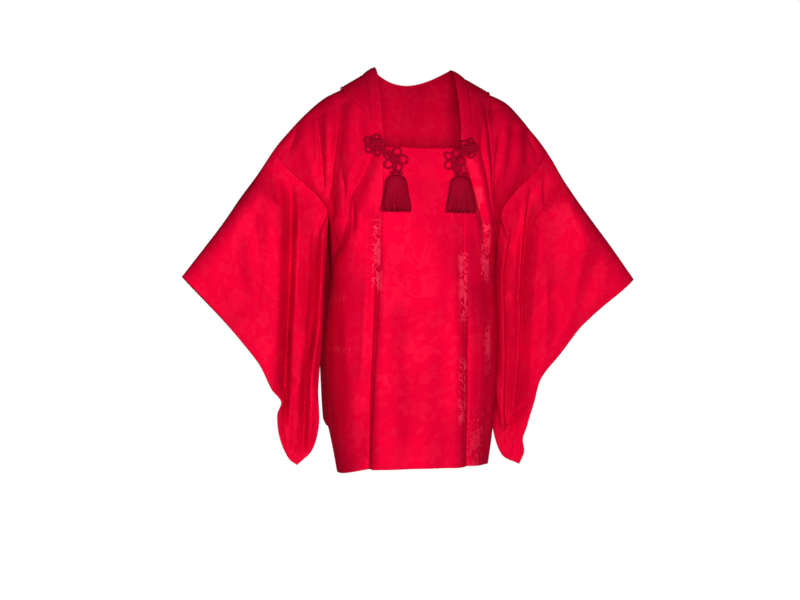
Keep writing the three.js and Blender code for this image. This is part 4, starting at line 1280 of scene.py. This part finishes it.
def add_room(strength):
    """White all round, which the camera sees whole and the coat by its strength."""
    world = bpy.data.worlds.new("studio")
    world.use_nodes = True
    world.node_tree.nodes.clear()
    w = Graph(world.node_tree)
    seen = w.add("LightPath").outputs["Is Camera Ray"]
    strength = w.scaled(seen, 1.0 - strength, strength)
    background = w.add("Background", {"Color": (1, 1, 1, 1), "Strength": strength})
    w.add("OutputWorld", {"Surface": background.outputs[0]})
    bpy.context.scene.world = world


def add_light(name, place, size, power):
    light = bpy.data.lights.new(name, "AREA")
    light.shape = "SQUARE"
    light.size = size
    light.energy = power
    aim = Vector(LIGHTS_AIM) - Vector(place)
    add_to_scene(name, light, place).rotation_euler = aim.to_track_quat("-Z", "Y").to_euler()


def add_camera(lens):
    camera = bpy.data.cameras.new("camera")
    camera.lens = lens
    camera.sensor_width = 36
    camera.clip_end = 50
    eye = add_to_scene("camera", camera, CAMERA_PLACE)
    eye.rotation_euler = (math.pi / 2, 0, -math.radians(CAMERA_TURN))
    bpy.context.scene.camera = eye


class COAT_OT_stage(bpy.types.Operator):
    """Sets the floor, the room, the lights and the camera"""

    bl_idname = "coat.stage"
    bl_label = "Stage"

    def execute(self, context):
        stage = context.scene.coat_stage
        add_floor()
        add_room(stage.room)
        add_light("key", (-0.28, -1.75, -0.36), 0.5, stage.key)
        add_light("left", (2.5, -1.2, -0.1), 1.6, stage.fill)
        add_light("right", (-2.7, -0.7, -0.1), 1.6, stage.fill)
        add_light("back", (0.2, 1.85, -0.36), 0.5, stage.key)
        add_camera(stage.lens)
        context.scene.view_settings.view_transform = "Standard"
        return {"FINISHED"}


class COAT_PT_panel(bpy.types.Panel):
    """Lists the coat's sizes, colours and steps"""

    bl_idname = "COAT_PT_panel"
    bl_label = "Coat"
    bl_space_type = "VIEW_3D"
    bl_region_type = "UI"
    bl_category = "Coat"

    def draw(self, context):
        for group in (context.scene.coat_silk, context.scene.coat_cords, context.scene.coat_stage):
            box = self.layout.box()
            for name in group.bl_rna.properties.keys():
                if name not in ("rna_type", "name"):
                    box.prop(group, name)
        for step in STEPS:
            self.layout.operator(step.bl_idname)


STEPS = (
    COAT_OT_body, COAT_OT_overlaps, COAT_OT_collar, COAT_OT_sleeves, COAT_OT_knots, COAT_OT_tassels,
    COAT_OT_stage,
)
GROUPS = {"coat_silk": CoatSilk, "coat_cords": CoatCords, "coat_stage": CoatStage}


def register():
    for cls in (*GROUPS.values(), *STEPS, COAT_PT_panel):
        bpy.utils.register_class(cls)
    for name, cls in GROUPS.items():
        setattr(bpy.types.Scene, name, PointerProperty(type=cls))


def unregister():
    for name in GROUPS:
        delattr(bpy.types.Scene, name)
    for cls in (COAT_PT_panel, *STEPS, *GROUPS.values()):
        bpy.utils.unregister_class(cls)


def main():
    register()
    bpy.ops.coat.body()
    bpy.ops.coat.overlaps()
    bpy.ops.coat.collar()
    bpy.ops.coat.sleeves()
    bpy.ops.coat.knots()
    bpy.ops.coat.tassels()
    bpy.ops.coat.stage()


if __name__ == "__main__":
    main()
